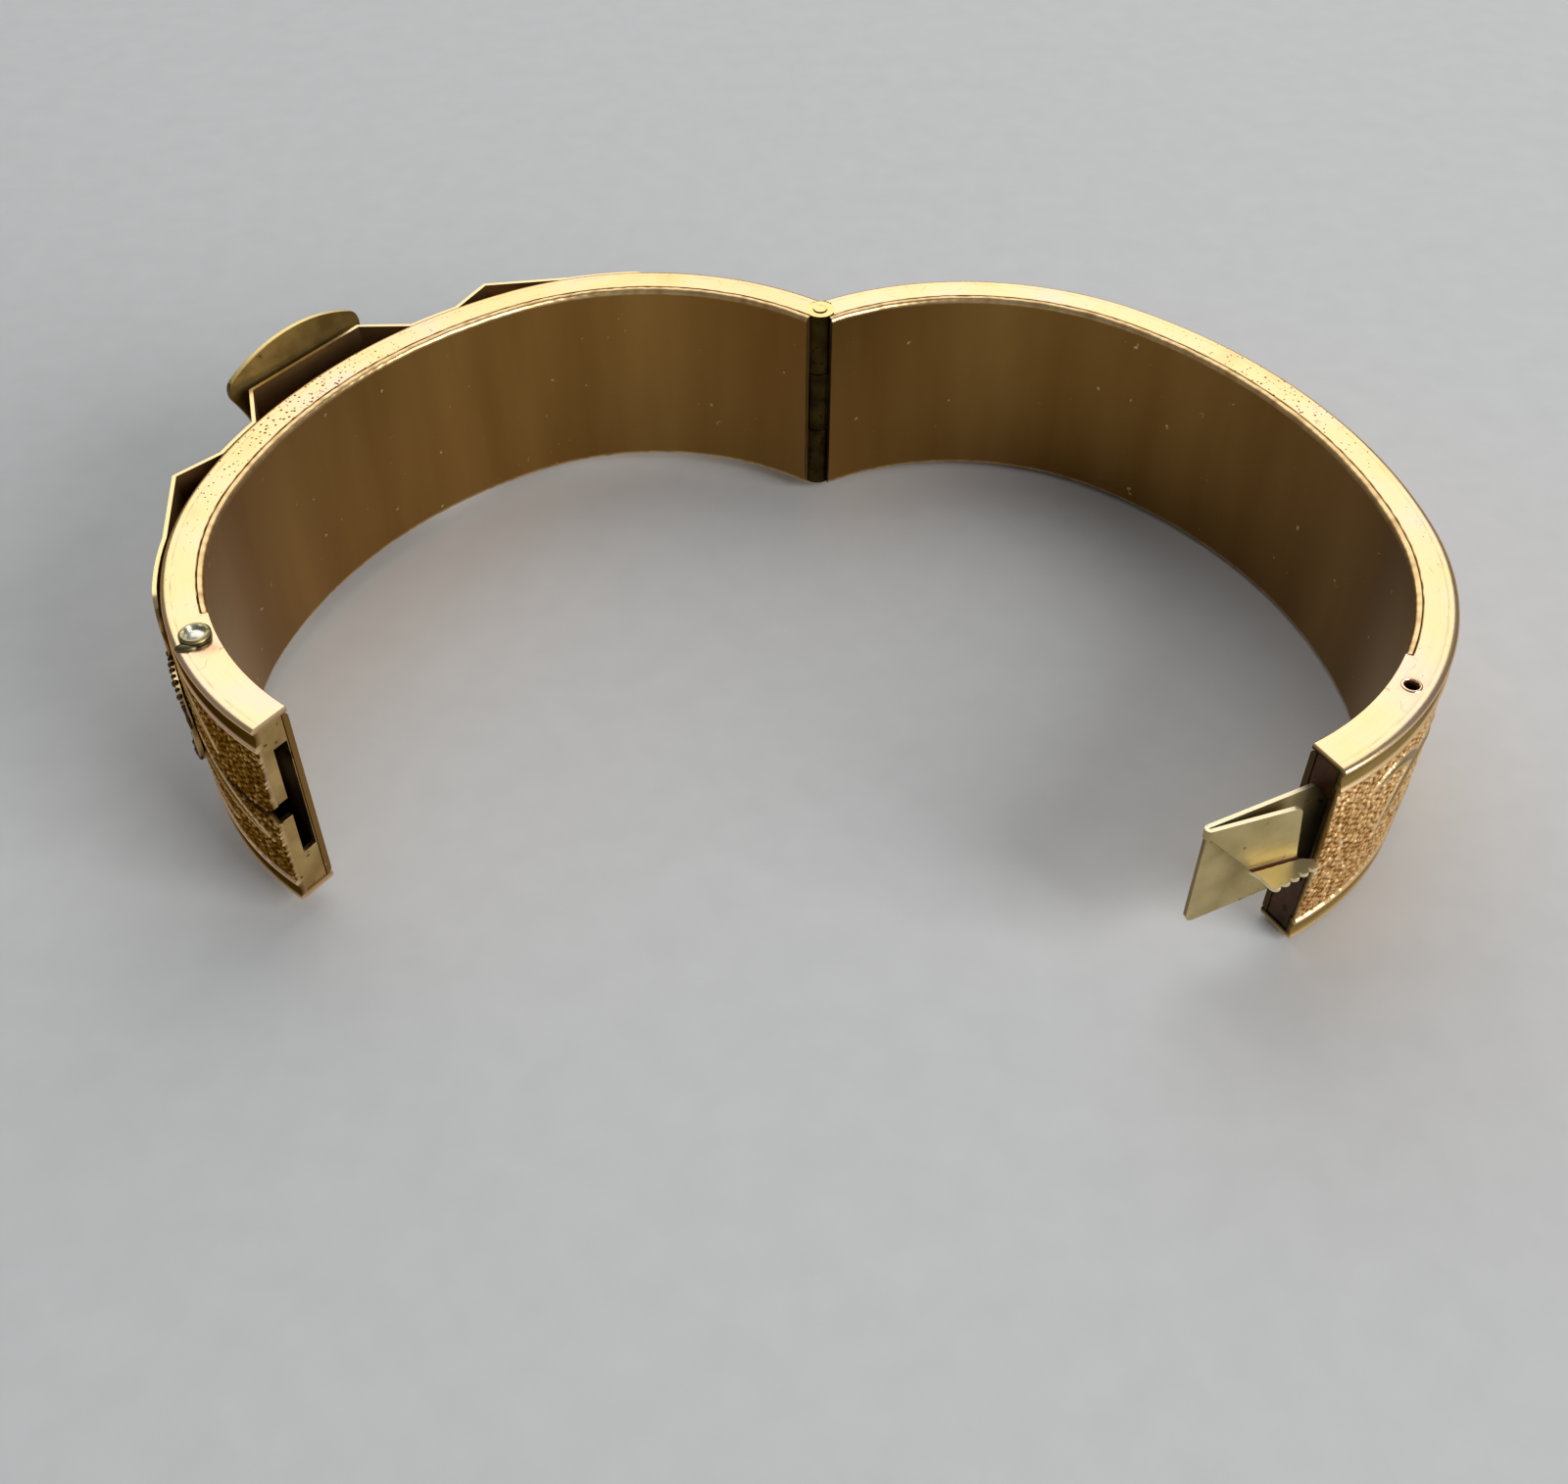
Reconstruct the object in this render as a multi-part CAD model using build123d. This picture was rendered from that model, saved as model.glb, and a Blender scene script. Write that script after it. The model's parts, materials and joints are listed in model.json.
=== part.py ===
from build123d import *
from math import atan2, cos, degrees, hypot, pi, radians, sin, tan
import os

# A hinged bangle of gilt brass sheet, open and lying on its side. Two hollow half bands turn on a
# pin. The catch half carries a bent strap with a plaque and takes the spring tongue of the other.
# Each half is drawn closed, bulging to +X, with the pin's axis as the origin and the clasp at -Y.

# The band, closed
inner_length = 56.64      # clear opening from hinge to clasp
inner_width = 46.6        # clear opening across
end_sweep = 66.4          # degrees that the tighter bend goes each side of hinge and clasp
band_width = 17.0         # from edge to edge, upright as it lies
band_depth = 3.2          # from the inner face to the crown of the outer face
opening_angle = 68.0      # between the two halves when they rest on the hinge's stop

# The sheets
liner_thickness = 0.45    # inner sheet
rim_round = 0.4           # rounding of the liner's edges
side_thickness = 0.5      # flat side walls
outer_thickness = 0.4     # stamped outer wall
seam = 0.03               # hairline between neighbours
end_gap = 0.1             # from each end to the plane where the closed halves meet
stop_gap = 0.03           # left between the outer corners when fully open

# The border of the outer face, from the side face inwards
field_crown = 0.22        # how far the middle stands above the border
shoulder_radius = 0.55
cove_width = 1.1
cove_depth = 0.2
ridge_width = 0.42
ridge_height = 0.1

# The hinge
pin_inset = 1.76          # from the inner face to the pin's axis
pin_radius = 0.55
pin_clearance = 0.03
pin_rise = 0.1            # head above the side face
pin_recess = 0.2          # foot above the lower side face
barrel_radius = 1.22
knuckle_gap = 0.1         # round and between the knuckles

# The clasp
plain_end = 11.6          # stretch where the side faces reach the inner face
plate_thickness = 0.45
plate_recess = 0.08
slot_start = 0.55         # from the inner face to the slot
slot_width = 1.15
slot_height = 10.2
slot_lift = 4.0           # foot of the slot above the lower side face
slit_height = 0.7
slit_length = 6.0
slit_mouth = 1.7          # flare at the open end of the slit
slit_flare = 0.9

# The spring tongue, one strip folded back on itself
tongue_sheet = 0.3
tongue_reach = 8.0        # beyond the plane where the halves meet
tongue_root = 2.4         # behind it
tongue_height = 9.6
tongue_offset = 0.88      # middle of the base leaf from the inner face, at the end
window_sill = 1.2         # below the end plate's window beside the tongue
tongue_lean = 5.2         # degrees that the base leaf turns inward
tongue_splay = 7.3        # degrees that the return leaf springs out from the base leaf
fold_radius = 0.2
fold_height = 0.8
return_setback = 1.05     # free edge of the return leaf from the meeting plane
return_slope = 0.9        # how much further back that edge is at the top
thumb_start = 4.3         # far side of the thumb-piece from the meeting plane
thumb_end = 0.3
thumb_rise = 0.5          # beyond the crown of the outer face
thumb_lobes = 5

# The safety chain's stud and hole
stud_from_clasp = 9.5
hole_from_clasp = 8.9
chain_depth = 1.34
stud_radius = 1.1
stud_height = 0.5
stud_shank = 0.4
stud_clearance = 0.04
hole_radius = 0.5
eyelet_width = 0.22
eyelet_height = 0.08

# Section of the stud above the side wall, from the foot up its side, over the rim and into the
# bowl: share of stud_radius from its axis, share of stud_height
stud_section = [
    {"out": 1.00, "rise": 0.70},
    {"out": 0.85, "rise": 1.00},
    {"out": 0.71, "rise": 1.00},
    {"out": 0.64, "rise": 0.45},
    {"out": 0.28, "rise": 0.75},
    {"out": 0.00, "rise": 0.85},
]

# The applied strap
strap_sheet = 0.3
strap_half = 27.0         # along the band from its middle to where each tip starts
strap_corner = 2.2        # rounding of the full sheet's corners there
strap_tip = 6.0           # length of the half oval tips
strap_tip_height = 7.0
strap_rise = 2.95         # bridge above the band
strap_margin = 0.4        # inside the band's side faces
strap_clearance = 0.05

# Folds of half the strap: share of strap_half along the band, share of strap_rise above it
strap_folds = [
    {"along": 0.182, "rise": 1.0},
    {"along": 0.289, "rise": 0.0},
    {"along": 0.433, "rise": 0.0},
    {"along": 0.552, "rise": 0.66},
    {"along": 0.770, "rise": 0.0},
    {"along": 1.000, "rise": 0.0},
]


# The plaque on the bridge and the leaves on the strap's outer slopes
plaque_half_height = 10.3
plaque_lobe = 7.35        # half width at the lobes, before the corners are rounded
plaque_lobe_height = 8.1  # of the lobes' corners from the middle
plaque_waist = 5.0        # half width at the middle
plaque_corner = 1.3
plaque_dish = 55.0        # radius of the dish
plaque_sheet = 0.4
leaf_height = 11.5
leaf_width = 2.4
leaf_sheet = 0.45
leaf_place = 0.6          # its middle, as a share of the strap's slope from the peak down

# The inner face closed is an oval of four arcs: an end arc, a flatter side arc and an end arc
half_length = inner_length / 2
half_width = inner_width / 2
oval_y = -(pin_inset + half_length)
end_turn = radians(end_sweep)
end_shift = (half_length - half_width) / (1 + tan(end_turn) - 1 / cos(end_turn))
end_radius = half_length - end_shift
side_shift = end_shift * tan(end_turn)
side_radius = half_width + side_shift
end_arc = end_turn * end_radius
side_arc = (pi - 2 * end_turn) * side_radius
half_arc = 2 * end_arc + side_arc
middle_arc = half_arc / 2

border_face = band_depth - field_crown
border_width = shoulder_radius + cove_width + ridge_width
liner_out = liner_thickness + seam
border_hollow = border_face - cove_depth - outer_thickness
field_hollow = border_face - outer_thickness
half_opening = opening_angle / 2
mid_height = band_width / 2

# How far cuts run past what they cut: through one sheet, and past a whole end of the band
spare = 1.0
beyond = 8.0


def outward(arc):
    """Angle from +Y of the band's outward direction, arc millimetres along the inner face."""
    if arc < end_arc:
        return arc / end_radius
    if arc < end_arc + side_arc:
        return end_turn + (arc - end_arc) / side_radius
    return pi - end_turn + (arc - end_arc - side_arc) / end_radius


def at(arc, out, height=0.0):
    """Point out millimetres outside the inner face, arc millimetres from the hinge."""
    angle = outward(arc)
    x, y, radius = 0.0, oval_y + end_shift, end_radius
    if end_arc <= arc < end_arc + side_arc:
        x, y, radius = -side_shift, oval_y, side_radius
    elif arc >= end_arc + side_arc:
        y = oval_y - end_shift
    return Vector(x + (radius + out) * sin(angle), y + (radius + out) * cos(angle), height)


def along(out, start=0.0, stop=half_arc):
    """Tangent arcs parallel to the inner face."""
    joints = [arc for arc in (end_arc, end_arc + side_arc) if start < arc < stop]
    arcs = [start] + joints + [stop]
    edges = []
    for first, last in zip(arcs, arcs[1:]):
        edges.append(ThreePointArc(at(first, out), at((first + last) / 2, out), at(last, out)))
    return edges


def run(section, start=0.0, stop=half_arc):
    """Sweeps a section, drawn outward along X and upward along Y, round the band."""
    angle = outward(start)
    out, onward = Vector(sin(angle), cos(angle)), Vector(cos(angle), -sin(angle))
    plane = Plane(origin=at(start, 0), x_dir=out, z_dir=onward)
    return sweep(plane * section, path=Wire(along(0, start, stop)))


def ribbon(inner, outer, start=0.0, stop=half_arc):
    """Flat face between two lines parallel to the inner face."""
    near = along(inner, start, stop)
    far = along(outer, start, stop)
    ends = [Line(at(start, inner), at(start, outer)), Line(at(stop, inner), at(stop, outer))]
    return make_face(Curve() + near + far + ends)


def closed_face(points):
    return make_face(Polyline(*points, close=True))


def upright(face, low, high):
    """Extrudes a face drawn on the floor from one height to another."""
    return extrude(Pos(0, 0, low) * face, amount=high - low)


def block(x0, x1, y0, y1, z0, z1):
    return Pos((x0 + x1) / 2, (y0 + y1) / 2, (z0 + z1) / 2) * Box(x1 - x0, y1 - y0, z1 - z0)


def round_bar(radius, low, high):
    """Cylinder on the pin's axis."""
    return Pos(0, 0, (low + high) / 2) * Cylinder(radius, high - low)


# What lies past the ends: past the meeting plane, and above the pin past the stop's plane
stop_corner = (end_gap * cos(radians(half_opening)) - stop_gap) / sin(radians(half_opening))
stop_x = end_gap + (beyond - stop_corner) * tan(radians(half_opening))
past_ends = upright(
    closed_face(
        [
            (-beyond, -inner_length - beyond),
            (end_gap, -inner_length - beyond),
            (end_gap, stop_corner),
            (stop_x, beyond),
            (-beyond, beyond),
        ]
    ),
    -beyond,
    band_width + beyond,
)

# The three knuckles: the catch half has the upper and the lower, the tongue half the middle one
knuckle = (band_width - 2 * knuckle_gap) / 3
catch_spans = [(0.0, knuckle), (band_width - knuckle, band_width)]
tongue_spans = [(knuckle + knuckle_gap, 2 * knuckle + knuckle_gap)]


def hinge_room(own_spans):
    """Round space about the pin: close to the half's own knuckles, free of the other's."""
    room = round_bar(barrel_radius + knuckle_gap, -spare, band_width + spare)
    for low, high in own_spans:
        room -= round_bar(2 * barrel_radius, low, high)
        room += round_bar(barrel_radius + seam, low, high)
    return room


def outer_profile():
    """Outer side of the shell, from the upper side face down to the lower one."""
    top = band_width
    face = border_face
    shoulder = top - shoulder_radius
    cove = shoulder - cove_width
    ridge = cove - ridge_width
    bend = shoulder_radius * (1 - cos(radians(45)))
    lines = []
    for flip in (lambda z: z, lambda z: band_width - z):
        lines += [
            Line((liner_out, flip(top)), (face - shoulder_radius, flip(top))),
            ThreePointArc(
                (face - shoulder_radius, flip(top)), (face - bend, flip(top - bend)), (face, flip(shoulder))
            ),
            ThreePointArc(
                (face, flip(shoulder)), (face - cove_depth, flip((shoulder + cove) / 2)), (face, flip(cove))
            ),
            ThreePointArc(
                (face, flip(cove)), (face + ridge_height, flip((cove + ridge) / 2)), (face, flip(ridge))
            ),
        ]
    lines.append(ThreePointArc((face, ridge), (band_depth, mid_height), (face, band_width - ridge)))
    return lines


def hollow_points(gap):
    """The hollow inside the shell, from the liner out, narrower behind the border."""
    low, high = side_thickness + gap, band_width - side_thickness - gap
    step_low, step_high = border_width + gap, band_width - border_width - gap
    near, border, field = liner_out, border_hollow - gap, field_hollow - gap
    return [
        (near, low),
        (border, low),
        (border, step_low),
        (field, step_low),
        (field, step_high),
        (border, step_high),
        (border, high),
        (near, high),
    ]


def shell(own_spans):
    """Outer sheet with its turned side walls, which reach the inner face at the clasp."""
    inner = Polyline(*([(liner_out, 0.0)] + hollow_points(0.0) + [(liner_out, band_width)]))
    body = run(make_face(Curve() + outer_profile() + inner))
    for low in (0.0, band_width - side_thickness):
        lip = ribbon(0.0, liner_out + side_thickness, half_arc - plain_end)
        body += upright(lip, low, low + side_thickness)
    return body - past_ends - hinge_room(own_spans)


def liner(own_spans):
    """Inner sheet, full width with round rims, and between the side walls at the clasp."""
    sheet = Pos(liner_thickness / 2, mid_height) * Rectangle(liner_thickness, band_width)
    sheet = fillet(sheet.vertices().sort_by(Axis.X)[:2], rim_round)
    body = run(sheet)
    tuck = ribbon(-spare, spare, half_arc - plain_end - seam)
    body -= upright(tuck, -spare, side_thickness + seam)
    body -= upright(tuck, band_width - side_thickness - seam, band_width + spare)
    return body - past_ends - hinge_room(own_spans)


def hinge_end(own_spans):
    """End wall hollowed for the other half's knuckles, with this half's knuckles soldered on."""
    wall_radius = barrel_radius + knuckle_gap + plate_thickness
    wall = run(closed_face(hollow_points(seam)), 0.0, end_arc / 2)
    wall = wall & round_bar(wall_radius, 0.0, band_width)
    wall -= past_ends
    room = round_bar(barrel_radius + knuckle_gap, -spare, band_width + spare)
    for low, high in own_spans:
        room -= round_bar(2 * barrel_radius, low, high)
    wall -= room
    for low, high in own_spans:
        wall += round_bar(barrel_radius, low, high)
    return wall - round_bar(pin_radius + pin_clearance, -spare, band_width + spare)


def end_plate():
    """Plate set a little way into the clasp end."""
    plug = run(closed_face(hollow_points(seam)), half_arc - end_arc / 2, half_arc)
    front = end_gap + plate_recess
    return plug & block(front, front + plate_thickness, -inner_length - beyond, 0, 0, band_width)


clasp_y = -(pin_inset + inner_length)
slit_middle = slot_lift + slot_height / 2 - slit_height / 2


def slit_cut():
    """Slit for the thumb-piece, flared where it opens at the end."""
    low, high = slit_middle - slit_height / 2, slit_middle + slit_height / 2
    mouth_low, mouth_high = slit_middle - slit_mouth / 2, slit_middle + slit_mouth / 2
    flat = closed_face(
        [
            (-spare, mouth_low),
            (end_gap, mouth_low),
            (end_gap + slit_flare, low),
            (slit_length, low),
            (slit_length, high),
            (end_gap + slit_flare, high),
            (end_gap, mouth_high),
            (-spare, mouth_high),
        ]
    )
    start = clasp_y - slot_start - slot_width
    plane = Plane(origin=(0, start, 0), x_dir=(1, 0, 0), z_dir=(0, -1, 0))
    return extrude(plane * flat, amount=beyond)


def mouth_plate():
    """End plate of the catch half, with the slot that the tongue enters and the slit's start."""
    slot_y = clasp_y - slot_start
    far_y = slot_y - slot_width
    mouth_low, mouth_high = slit_middle - slit_mouth / 2, slit_middle + slit_mouth / 2
    slot = block(0.0, beyond, far_y, slot_y, slot_lift, slot_lift + slot_height)
    neck = block(0.0, beyond, far_y - beyond, slot_y - slot_width / 2, mouth_low, mouth_high)
    return end_plate() - slot - neck


# The tongue in plan: the base leaf leans inward from the end, turns at the fold and comes back
tongue_low = slot_lift + (slot_height - tongue_height) / 2
tongue_high = tongue_low + tongue_height
base_start = Vector(tongue_root, clasp_y - tongue_offset - tongue_root * tan(radians(tongue_lean)))
base_end = Vector(-tongue_reach, clasp_y - tongue_offset + tongue_reach * tan(radians(tongue_lean)))
return_angle = tongue_splay + tongue_lean
fold_centre = base_end + Vector(0, -fold_radius)
return_start = fold_centre + Vector(0, -fold_radius)


def return_y(x):
    """Middle of the return leaf, which springs outward towards the end."""
    return return_start.Y - (x - return_start.X) * tan(radians(return_angle))


def strip(start, end, thickness):
    """Flat face of a straight strip seen on edge."""
    run_x, run_y = end.X - start.X, end.Y - start.Y
    length = hypot(run_x, run_y)
    side = Vector(-run_y, run_x) * (thickness / 2 / length)
    return closed_face([start + side, end + side, end - side, start - side])


def spring_tongue():
    """Base leaf, fold, return leaf cut away below its diagonal, and the scalloped thumb-piece."""
    base = upright(strip(base_start, base_end, tongue_sheet), tongue_low, tongue_high)
    ring = Circle(fold_radius + tongue_sheet / 2) - Circle(fold_radius - tongue_sheet / 2)
    ring -= Pos(tongue_reach / 2, 0) * Rectangle(tongue_reach, tongue_reach)
    fold = Pos(fold_centre.X, fold_centre.Y) * ring
    return_end = Vector(-return_setback, return_y(-return_setback))
    leaf = upright(strip(return_start, return_end, tongue_sheet) + fold, tongue_low, tongue_high)
    thumb_z = slit_middle - tongue_sheet / 2
    outline = closed_face(
        [
            (-tongue_reach - spare, tongue_high),
            (-return_setback - return_slope, tongue_high),
            (-return_setback, thumb_z),
            (-thumb_start, thumb_z),
            (-tongue_reach, tongue_high - fold_height),
            (-tongue_reach - spare, tongue_high - fold_height),
        ]
    )
    face_out = Plane(origin=(0, clasp_y + beyond, 0), x_dir=(1, 0, 0), z_dir=(0, -1, 0))
    leaf = leaf & extrude(face_out * outline, amount=2 * beyond)
    lobe = (thumb_start - thumb_end) / thumb_lobes
    edge_y = clasp_y - band_depth - thumb_rise + lobe / 2
    thumb = closed_face(
        [
            (-thumb_start, return_y(-thumb_start)),
            (-return_setback, return_y(-return_setback)),
            (-thumb_end, return_y(-return_setback) - lobe),
            (-thumb_end, edge_y),
            (-thumb_start, edge_y),
        ]
    )
    for count in range(thumb_lobes):
        thumb += Pos(-thumb_end - lobe * (count + 0.5), edge_y) * Circle(lobe / 2)
    return base + leaf + upright(thumb, thumb_z, thumb_z + tongue_sheet)


def tongue_plate():
    """End plate of the tongue half, slotted for the base leaf and open beside it."""
    leaf = strip(base_start, base_end, tongue_sheet + 2 * seam)
    leaf = upright(leaf, tongue_low - seam, tongue_high + seam)
    near, far = clasp_y - tongue_offset, clasp_y - field_hollow + side_thickness / 2
    window = block(0.0, beyond, far, near, tongue_low + window_sill, tongue_high)
    return end_plate() - leaf - window


def chain_stud():
    """Riveted cup that held the end of a safety chain, with its shank through the side wall."""
    points = [(0, -side_thickness), (stud_shank, -side_thickness)]
    points += [(stud_shank, seam), (stud_radius, seam)]
    for row in stud_section:
        points.append((row["out"] * stud_radius, row["rise"] * stud_height))
    profile = closed_face(points)
    cup = revolve(Plane.XZ * profile, Axis.Z)
    return Pos(*at(half_arc - stud_from_clasp, chain_depth, band_width)) * cup


def side_bore(from_clasp, radius):
    """Hole through the upper side wall."""
    place = at(half_arc - from_clasp, chain_depth, band_width)
    return Pos(*place) * Cylinder(radius, 3 * side_thickness)


def eyelet():
    """Low burr round the chain's hole."""
    place = at(half_arc - hole_from_clasp, chain_depth, band_width)
    return Pos(*place) * Cylinder(hole_radius + eyelet_width, 2 * eyelet_height)


# Folds of the strap from one tip to the other, as places along the band and heights above it.
# The last fold marks where the rounded tip starts, so the sheet runs on from there
strap_lift = band_depth + strap_clearance + strap_sheet / 2
fold_places = []
for row in strap_folds:
    reach, rise = row["along"] * strap_half, row["rise"] * strap_rise
    fold_places.append((middle_arc + reach, strap_lift + rise))
    fold_places.insert(0, (middle_arc - reach, strap_lift + rise))
fold_places.append((middle_arc + strap_half + strap_tip, strap_lift))
fold_places.insert(0, (middle_arc - strap_half - strap_tip, strap_lift))


def ornament_strap():
    """Thin strap folded up into two peaks and a bridge, lying on the band between them."""
    face = None
    for (arc_a, out_a), (arc_b, out_b) in zip(fold_places, fold_places[1:]):
        if out_a == out_b == strap_lift:
            piece = ribbon(out_a - strap_sheet / 2, out_a + strap_sheet / 2, arc_a, arc_b)
        else:
            piece = strip(at(arc_a, out_a), at(arc_b, out_b), strap_sheet)
        face = piece if face is None else face + piece
    for arc, out in fold_places[2:-2]:
        face += Pos(at(arc, out).X, at(arc, out).Y) * Circle(strap_sheet / 2)
    strap = upright(face, strap_margin, band_width - strap_margin)
    return strap - tip_waste(-1) - tip_waste(1)


def tip_waste(side):
    """What is cut away above and below a half oval tip, side -1 at the hinge and 1 at the clasp."""
    start = middle_arc + side * strap_half
    angle = outward(start + side * strap_tip / 2)
    tangent, out = Vector(side * cos(angle), -side * sin(angle)), Vector(sin(angle), cos(angle))
    plane = Plane(origin=at(start, 0, mid_height), x_dir=tangent, z_dir=out)
    corners = 4 * strap_corner
    waste = Pos(strap_tip - strap_corner, 0) * Rectangle(2 * strap_tip, 2 * band_width)
    waste -= Pos(-corners / 2, 0) * RectangleRounded(corners, band_width - 2 * strap_margin, strap_corner)
    waste -= Ellipse(strap_tip * cos(angle - outward(start)), strap_tip_height / 2)
    return extrude(plane * waste, amount=band_depth + strap_rise)


bridge_x = at(*fold_places[len(fold_places) // 2]).X


def ornament_plaque():
    """Upright plaque, lobed above and below the bridge and dished, taller than the band."""
    lobes = [(plaque_lobe, plaque_lobe_height), (plaque_lobe, -plaque_lobe_height)]
    lobes += [(-x, -z) for x, z in lobes]
    middles = [(plaque_waist, 0), (0, -plaque_half_height), (-plaque_waist, 0), (0, plaque_half_height)]
    edges = []
    for index, middle in enumerate(middles):
        edges.append(ThreePointArc(lobes[index], middle, lobes[(index + 1) % 4]))
    outline = make_face(Curve() + edges)
    outline = fillet(outline.vertices(), plaque_corner)
    seat = bridge_x + strap_sheet / 2 + strap_clearance
    plane = Plane(origin=(seat - spare, oval_y, mid_height), x_dir=(0, 1, 0), z_dir=(1, 0, 0))
    plate = extrude(plane * outline, amount=beyond)
    dish = Pos(seat + plaque_dish, oval_y, mid_height)
    return (plate & (dish * Sphere(plaque_dish))) - dish * Sphere(plaque_dish - plaque_sheet)


def ornament_leaf(side):
    """Applied leaf on the long slope of the strap, with side -1 towards the hinge and 1 the clasp."""
    peak, foot = strap_folds[3], strap_folds[4]
    top_arc, bottom_arc = (middle_arc + side * row["along"] * strap_half for row in (peak, foot))
    top = at(top_arc, strap_lift + peak["rise"] * strap_rise, mid_height)
    bottom = at(bottom_arc, strap_lift, mid_height)
    slope = (bottom - top).normalized()
    out = slope.cross(Vector(0, 0, side))
    if out.X < 0:
        out = -out
    centre = top + (bottom - top) * leaf_place + out * (strap_sheet / 2 + strap_clearance)
    radius = (leaf_height**2 + leaf_width**2) / (4 * leaf_width)
    lens = Pos(radius - leaf_width / 2, 0) * Circle(radius)
    lens = lens & (Pos(leaf_width / 2 - radius, 0) * Circle(radius))
    return extrude(Plane(origin=centre, x_dir=slope, z_dir=out) * lens, amount=leaf_sheet)


tongue_shell = shell(tongue_spans) + eyelet() - side_bore(hole_from_clasp, hole_radius)
catch_shell = shell(catch_spans) - slit_cut() - side_bore(stud_from_clasp, stud_shank + stud_clearance)

tongue_half = {
    "tongue_shell": tongue_shell,
    "tongue_liner": liner(tongue_spans),
    "tongue_knuckle": hinge_end(tongue_spans),
    "tongue_plate": tongue_plate(),
    "spring_tongue": spring_tongue(),
}
catch_half = {
    "catch_shell": catch_shell,
    "catch_liner": liner(catch_spans),
    "catch_knuckles": hinge_end(catch_spans),
    "catch_mouth": mouth_plate(),
    "hinge_pin": round_bar(pin_radius, pin_recess, band_width + pin_rise),
    "chain_stud": chain_stud(),
    "ornament_strap": ornament_strap(),
    "ornament_plaque": ornament_plaque(),
    "ornament_leaf_hinge_side": ornament_leaf(-1),
    "ornament_leaf_clasp_side": ornament_leaf(1),
}

# Open: the tongue half swings to +X and the mirrored catch half to -X
pieces = {}
for name, piece in tongue_half.items():
    pieces[name] = piece.rotate(Axis.Z, half_opening)
for name, piece in catch_half.items():
    pieces[name] = mirror(piece, about=Plane.YZ).rotate(Axis.Z, -half_opening)


def swung(point, side):
    """A point of the closed drawing on the open bangle, side 1 for the tongue half."""
    turned = Vector(side * point.X, point.Y, point.Z)
    return turned.rotate(Axis.Z, side * half_opening)


# The plaque is taller than the band, so the bangle rests on the plaque's foot and on the lower edge
# of the tongue half, at the place opposite to the foot across the centre of mass
volume = sum(piece.volume for piece in pieces.values())
balance = sum((piece.center(CenterOf.MASS) * piece.volume for piece in pieces.values()), Vector()) / volume
foot_out = plaque_half_height**2 / (2 * plaque_dish)
foot = swung(Vector(bridge_x + foot_out, oval_y, mid_height - plaque_half_height), -1)
lean_flat = border_face - shoulder_radius


def off_line(arc):
    """How far the centre of mass lies beside the line from the foot to a place on the lower edge."""
    edge = swung(at(arc, lean_flat), 1)
    line = Vector(edge.X - foot.X, edge.Y - foot.Y).normalized()
    return abs(line.X * (balance.Y - foot.Y) - line.Y * (balance.X - foot.X))


edge_places = 400
edge_arc = min((half_arc * place / edge_places for place in range(edge_places + 1)), key=off_line)
edge_point = swung(at(edge_arc, lean_flat), 1)
edge_angle = outward(edge_arc) - radians(half_opening)
edge_out = Vector(sin(edge_angle), cos(edge_angle))
lean_reach = (edge_point - foot).dot(edge_out)
lean_angle = degrees(atan2(edge_point.Z - foot.Z, lean_reach))
lean_axis = Axis(edge_point, (-edge_out.Y, edge_out.X, 0))

laid = {name: piece.rotate(lean_axis, lean_angle) for name, piece in pieces.items()}
boxes = [piece.bounding_box() for piece in laid.values()]
low_x, high_x = min(box.min.X for box in boxes), max(box.max.X for box in boxes)
low_y, high_y = min(box.min.Y for box in boxes), max(box.max.Y for box in boxes)
shift = Vector(-(low_x + high_x) / 2, -(low_y + high_y) / 2, -min(box.min.Z for box in boxes))

os.makedirs("parts", exist_ok=True)
for name, piece in laid.items():
    export_step(piece.translate(shift), "parts/" + name + ".step")
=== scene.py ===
# %% [markdown]
# # A hinged bangle of gilt brass, open on its side
#
# The real bangle is two hollow half bands of thin brass sheet, gilt by electroplating. Each half is
# an outer sheet, stamped with a leaf pattern, and a plain inner sheet, the liner. A three-knuckle
# hinge joins the halves, and a folded spring tongue clicks into a slot at the other end. One half
# carries a folded strap with an upright plaque.
#
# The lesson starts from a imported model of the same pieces. Its sizes, places and joint are fixed, so
# everything here is a finer skin for a piece that is already where it belongs.

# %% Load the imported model
import json
from math import cos, pi, radians, sin, tan

import bmesh
import bpy
import numpy as np
from mathutils import Matrix, Vector


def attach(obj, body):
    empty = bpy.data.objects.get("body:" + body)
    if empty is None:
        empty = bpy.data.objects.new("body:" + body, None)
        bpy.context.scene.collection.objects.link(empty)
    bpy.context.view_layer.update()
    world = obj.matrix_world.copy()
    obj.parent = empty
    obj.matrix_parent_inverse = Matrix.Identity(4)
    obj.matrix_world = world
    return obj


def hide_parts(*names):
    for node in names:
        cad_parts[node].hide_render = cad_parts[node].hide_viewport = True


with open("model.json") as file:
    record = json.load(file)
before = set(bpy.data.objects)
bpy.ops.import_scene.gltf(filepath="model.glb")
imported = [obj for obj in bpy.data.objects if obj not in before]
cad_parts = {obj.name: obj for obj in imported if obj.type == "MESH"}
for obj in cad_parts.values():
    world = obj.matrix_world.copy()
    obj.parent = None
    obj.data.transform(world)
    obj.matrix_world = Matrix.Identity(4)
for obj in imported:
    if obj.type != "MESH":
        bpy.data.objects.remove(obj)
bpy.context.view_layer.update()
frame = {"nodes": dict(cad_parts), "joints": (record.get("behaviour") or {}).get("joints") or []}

# %% [markdown]
# ## The oval
#
# Closed, the inner face of the bangle is an oval of four arcs: two tight ones at the hinge and the
# clasp, and two flatter ones at the sides. A place on a half is then three numbers in millimetres:
# how far along the inner face from the hinge, how far outside it, and how high above the lower edge.
# That is how a jeweller lays out a band while it is still flat, and every piece below uses it.

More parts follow.
